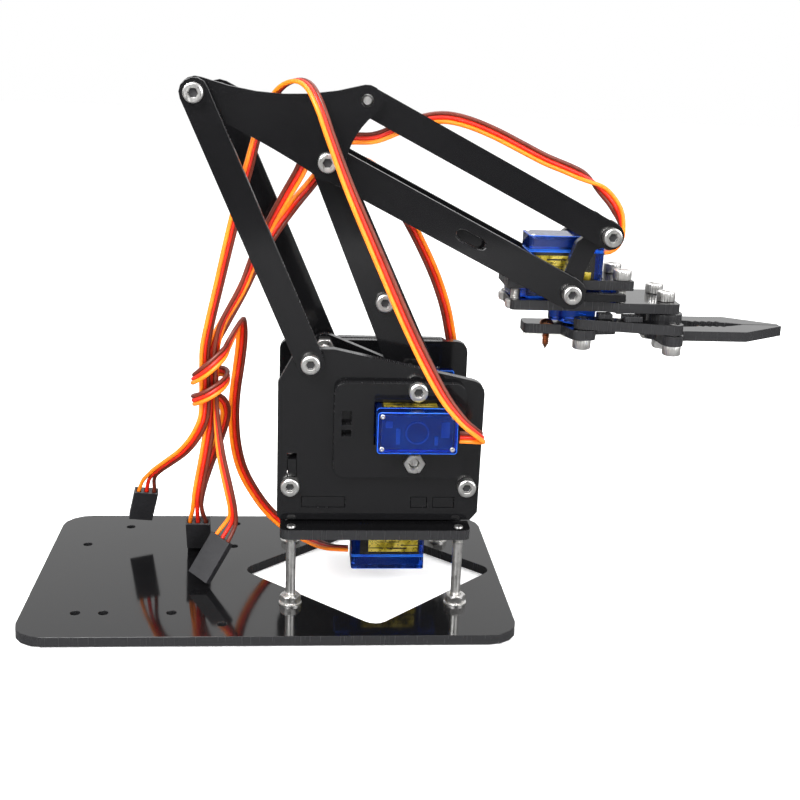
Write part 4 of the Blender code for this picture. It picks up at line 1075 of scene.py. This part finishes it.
def lead(owner, route, wanted, parts):
    """A flat three-wire lead; a part is (name, from place, to place, two bodies, start, end, far end). The
    two bodies, start, end and far end are not used.
    """
    name = owner + "_lead"
    plug = PLUGS[owner]
    full = [*route, *into_plug(plug)]
    points, places = smooth(full)
    last = len(full) - 1
    wanted = [*wanted, (last - 1, plug[2]), (last, plug[2])]
    tangents, across = ribbon_frames(points, places, wanted)
    total = len(points)
    spread = []
    sway = []
    for i in range(total):
        near_end = max(0.0, 1.0 - (total - 1 - i) * SAMPLE / 11.0)
        spread.append(1.0 + 1.05 * near_end * near_end * (3 - 2 * near_end))
        swing = min(1.0, (total - 1 - i) * SAMPLE / 16.0) * min(1.0, i * SAMPLE / 16.0)
        sway.append(0.22 * math.sin(i * 0.13 + len(name)) * swing)
    for number, (part, start_place, end_place, body_a, body_b, start, end, far_end) in enumerate(parts):
        a = 0 if start_place is None else nearest(places, start_place)
        b = total - 1 if end_place is None else nearest(places, end_place)
        run = slice(a, b + 1)
        data = ribbon_mesh(part, points[run], tangents[run], across[run], spread[run], sway[run])
        made = show(part, data, None)
        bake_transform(made)
        if number == 0:
            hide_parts(name)


def plug_shell(owner):
    """A three-way plug: a moulded shell with its pin holes and windows."""
    name = owner + "_plug"
    top, down, wide = (Vector(item) for item in PLUGS[owner])
    z_axis = down.normalized()
    y_axis = z_axis.cross(wide).normalized()
    x_axis = y_axis.cross(z_axis)
    turn = Matrix((x_axis, y_axis, z_axis)).transposed().to_4x4()
    matrix = Matrix.Translation((top + Vector((COLUMN_X, 0, 0))) * MM) @ turn
    shape = bmesh.new()
    add_prism(shape, soft_box(-3.8, 3.8, -1.3, 1.3, 0.25), 0.0, 14.0)
    data = finish_mesh(name, shape, [PLUG])
    cuts = []
    for k in (-1, 0, 1):
        x = PIN_PITCH * k
        cuts.append(((x - 0.45, -0.45, 12.4), (x + 0.45, 0.45, 14.5)))
        cuts.append(((x - 0.75, -0.75, -0.5), (x + 0.75, 0.75, 1.3)))
        cuts.append(((x - 0.62, -1.6, 2.6), (x + 0.62, -0.75, 5.6)))
    data = with_slots(data, cuts)
    data.materials.clear()
    dress(data, [PLUG], 32)
    made = show(name, data, "turntable", [f"{owner}_connector"], matrix)
    bevel(made, 0.12)
    shape = bmesh.new()
    for k in (-1, 0, 1):
        x = PIN_PITCH * k
        add_prism(shape, soft_box(x - 0.5, x + 0.5, -0.95, -0.35, 0.1), 2.3, 11.5)
    data = finish_mesh(name + "_contacts", shape, [CONTACT])
    contacts = show(name + "_contacts", data, None, matrix=matrix)
    contacts.parent = made
    contacts.matrix_parent_inverse = made.matrix_world.inverted()
    return made


def leads():
    plugs = {owner: plug_shell(owner) for owner in PLUGS}
    across = [(0, (0, 0, 1)), (7, (0.86, 0, 0.5)), (13, (1, 0.6, 0))]
    parts = [
        ("shoulder_ribbon_up", None, 12, "turntable", "upper_arm", (16, 0, 70), (-14, 0, 140), "object"),
        ("shoulder_ribbon_down", 12, None, "upper_arm", "turntable", (-26, 0, 140), (-44, 0, 80),
         "connector")]
    lead("shoulder", SHOULDER_ROUTE, across, parts)
    across = [(0, (0, 0, 1)), (4, (-1, 0, 0.2))]
    parts = [
        ("elbow_ribbon_up", None, 14, "turntable", "upper_arm", (20, 0, 75), (0, 0, 125), "object"),
        ("elbow_ribbon_down", 14, None, "upper_arm", "turntable", (-20, 0, 122), (-44, 0, 82), "connector")]
    lead("elbow", ELBOW_ROUTE, across, parts)
    across = [(0, (0, 1, 0)), (3.4, (0, 1, 0)), (5.2, (-0.6, 0.2, -0.5)), (8, (0.4, 0, 0.9)),
              (15, (0.2, 0.3, 0.9))]
    parts = [
        ("gripper_ribbon_hand", None, 9, "hand", "forearm", (70, 0, 118), (50, 0, 132), "object"),
        ("gripper_ribbon_elbow", 9, 17, "forearm", "triangle", (22, 0, 143), (-6, 0, 139), "object"),
        ("gripper_ribbon_top", 17, 23, "triangle", "upper_arm", (-12, 0, 138), (-30, 0, 112), "object"),
        ("gripper_ribbon_down", 23, None, "upper_arm", "turntable", (-34, 0, 106), (-46, 0, 80),
         "connector")]
    lead("gripper", GRIPPER_ROUTE, across, parts)
    knot = knot_turns()
    route = BASE_ROUTE_IN + knot + BASE_ROUTE_OUT
    across = [(0, (0, 1, 0)), (6, (0.3, 0.6, 0.5)), (10, (1, 0.2, 0.2)), (13.5, (1, 0.2, 0.2))]
    across += [(len(BASE_ROUTE_IN) + k, (0, 0, 1)) for k in range(0, len(knot), 3)]
    parts = [("base_ribbon", None, None, "base", "turntable", (-12, 2, 10), (-40, 18, 30), "connector")]
    lead("base", route, across, parts)


# ---------------------------------------------------------------- stage
def floor_look():
    """A white table, seen brighter by the eye than by the glossy plates above it."""
    look = Look("pale_floor", (0.92, 0.92, 0.92), 0.6)
    look.set("Specular IOR Level", 0.2)
    path = look.node("ShaderNodeLightPath")
    seen = look.ramp(path.outputs["Is Camera Ray"], 0, 1, 0, 0.42)
    look.set("Emission Color", (1.0, 1.0, 1.0, 1.0))
    look.link(seen, look.shader.inputs["Emission Strength"])
    mirrored = look.ramp(path.outputs["Is Glossy Ray"], 0, 1, 0.92, 0.10)
    grey = look.node("ShaderNodeCombineColor")
    for channel in ("Red", "Green", "Blue"):
        look.link(mirrored, grey.inputs[channel])
    look.link(grey.outputs["Color"], look.shader.inputs["Base Color"])
    return look.material


def studio_world():
    """White behind and above the arm, dimmer towards the side that it is seen from."""
    world = bpy.data.worlds.new("studio")
    world.use_nodes = True
    nodes = world.node_tree.nodes
    links = world.node_tree.links
    where = nodes.new("ShaderNodeTexCoord")
    split = nodes.new("ShaderNodeSeparateXYZ")
    links.new(where.outputs["Generated"], split.inputs["Vector"])
    depth = nodes.new("ShaderNodeMapRange")
    for key, number in zip(RANGE_SOCKETS, (-0.9, 0.55, 0.22, 0.95)):
        depth.inputs[key].default_value = number
    links.new(split.outputs["Y"], depth.inputs["Value"])
    path = nodes.new("ShaderNodeLightPath")
    pick = nodes.new("ShaderNodeMath")
    pick.operation = "MAXIMUM"
    links.new(path.outputs["Is Camera Ray"], pick.inputs[0])
    links.new(depth.outputs["Result"], pick.inputs[1])
    links.new(pick.outputs["Value"], nodes["Background"].inputs["Strength"])
    nodes["Background"].inputs["Color"].default_value = (1.0, 1.0, 1.0, 1.0)
    return world


def stage():
    floor = bpy.data.meshes.new("floor")
    reach = 3.0
    corners = [(x, y, 0) for x, y in box(-reach, reach, -reach, reach)]
    floor.from_pydata(corners, [], [(0, 1, 2, 3)])
    floor.materials.append(floor_look())
    piece = put("floor", floor)
    piece.location = (0, 0, -0.0004)
    bpy.context.scene.world = studio_world()
    for name, place, size, power, aim in (
            ("key", (-0.30, -0.55, 0.55), 0.35, 9.0, (0, 0, 0.08)),
            ("front", (0.05, -0.75, 0.12), 0.22, 4.0, (0, 0, 0.08)),
            ("fill", (0.6, -0.5, 0.4), 0.5, 4.0, (0, 0, 0.08)),
            ("top", (0.05, 0.15, 0.9), 0.7, 6.0, (0, 0, 0.05))):
        data = bpy.data.lights.new(name, "AREA")
        data.size = size
        data.energy = power
        lamp = put(name, data)
        lamp.location = place
        lamp.visible_glossy = name != "front"
        facing = Vector(aim) - Vector(place)
        lamp.rotation_euler = facing.to_track_quat("-Z", "Y").to_euler()


plates()
bolts()
lever_extras()
studs()
servos()
leads()
stage()
bpy.context.scene.view_settings.view_transform = "Standard"
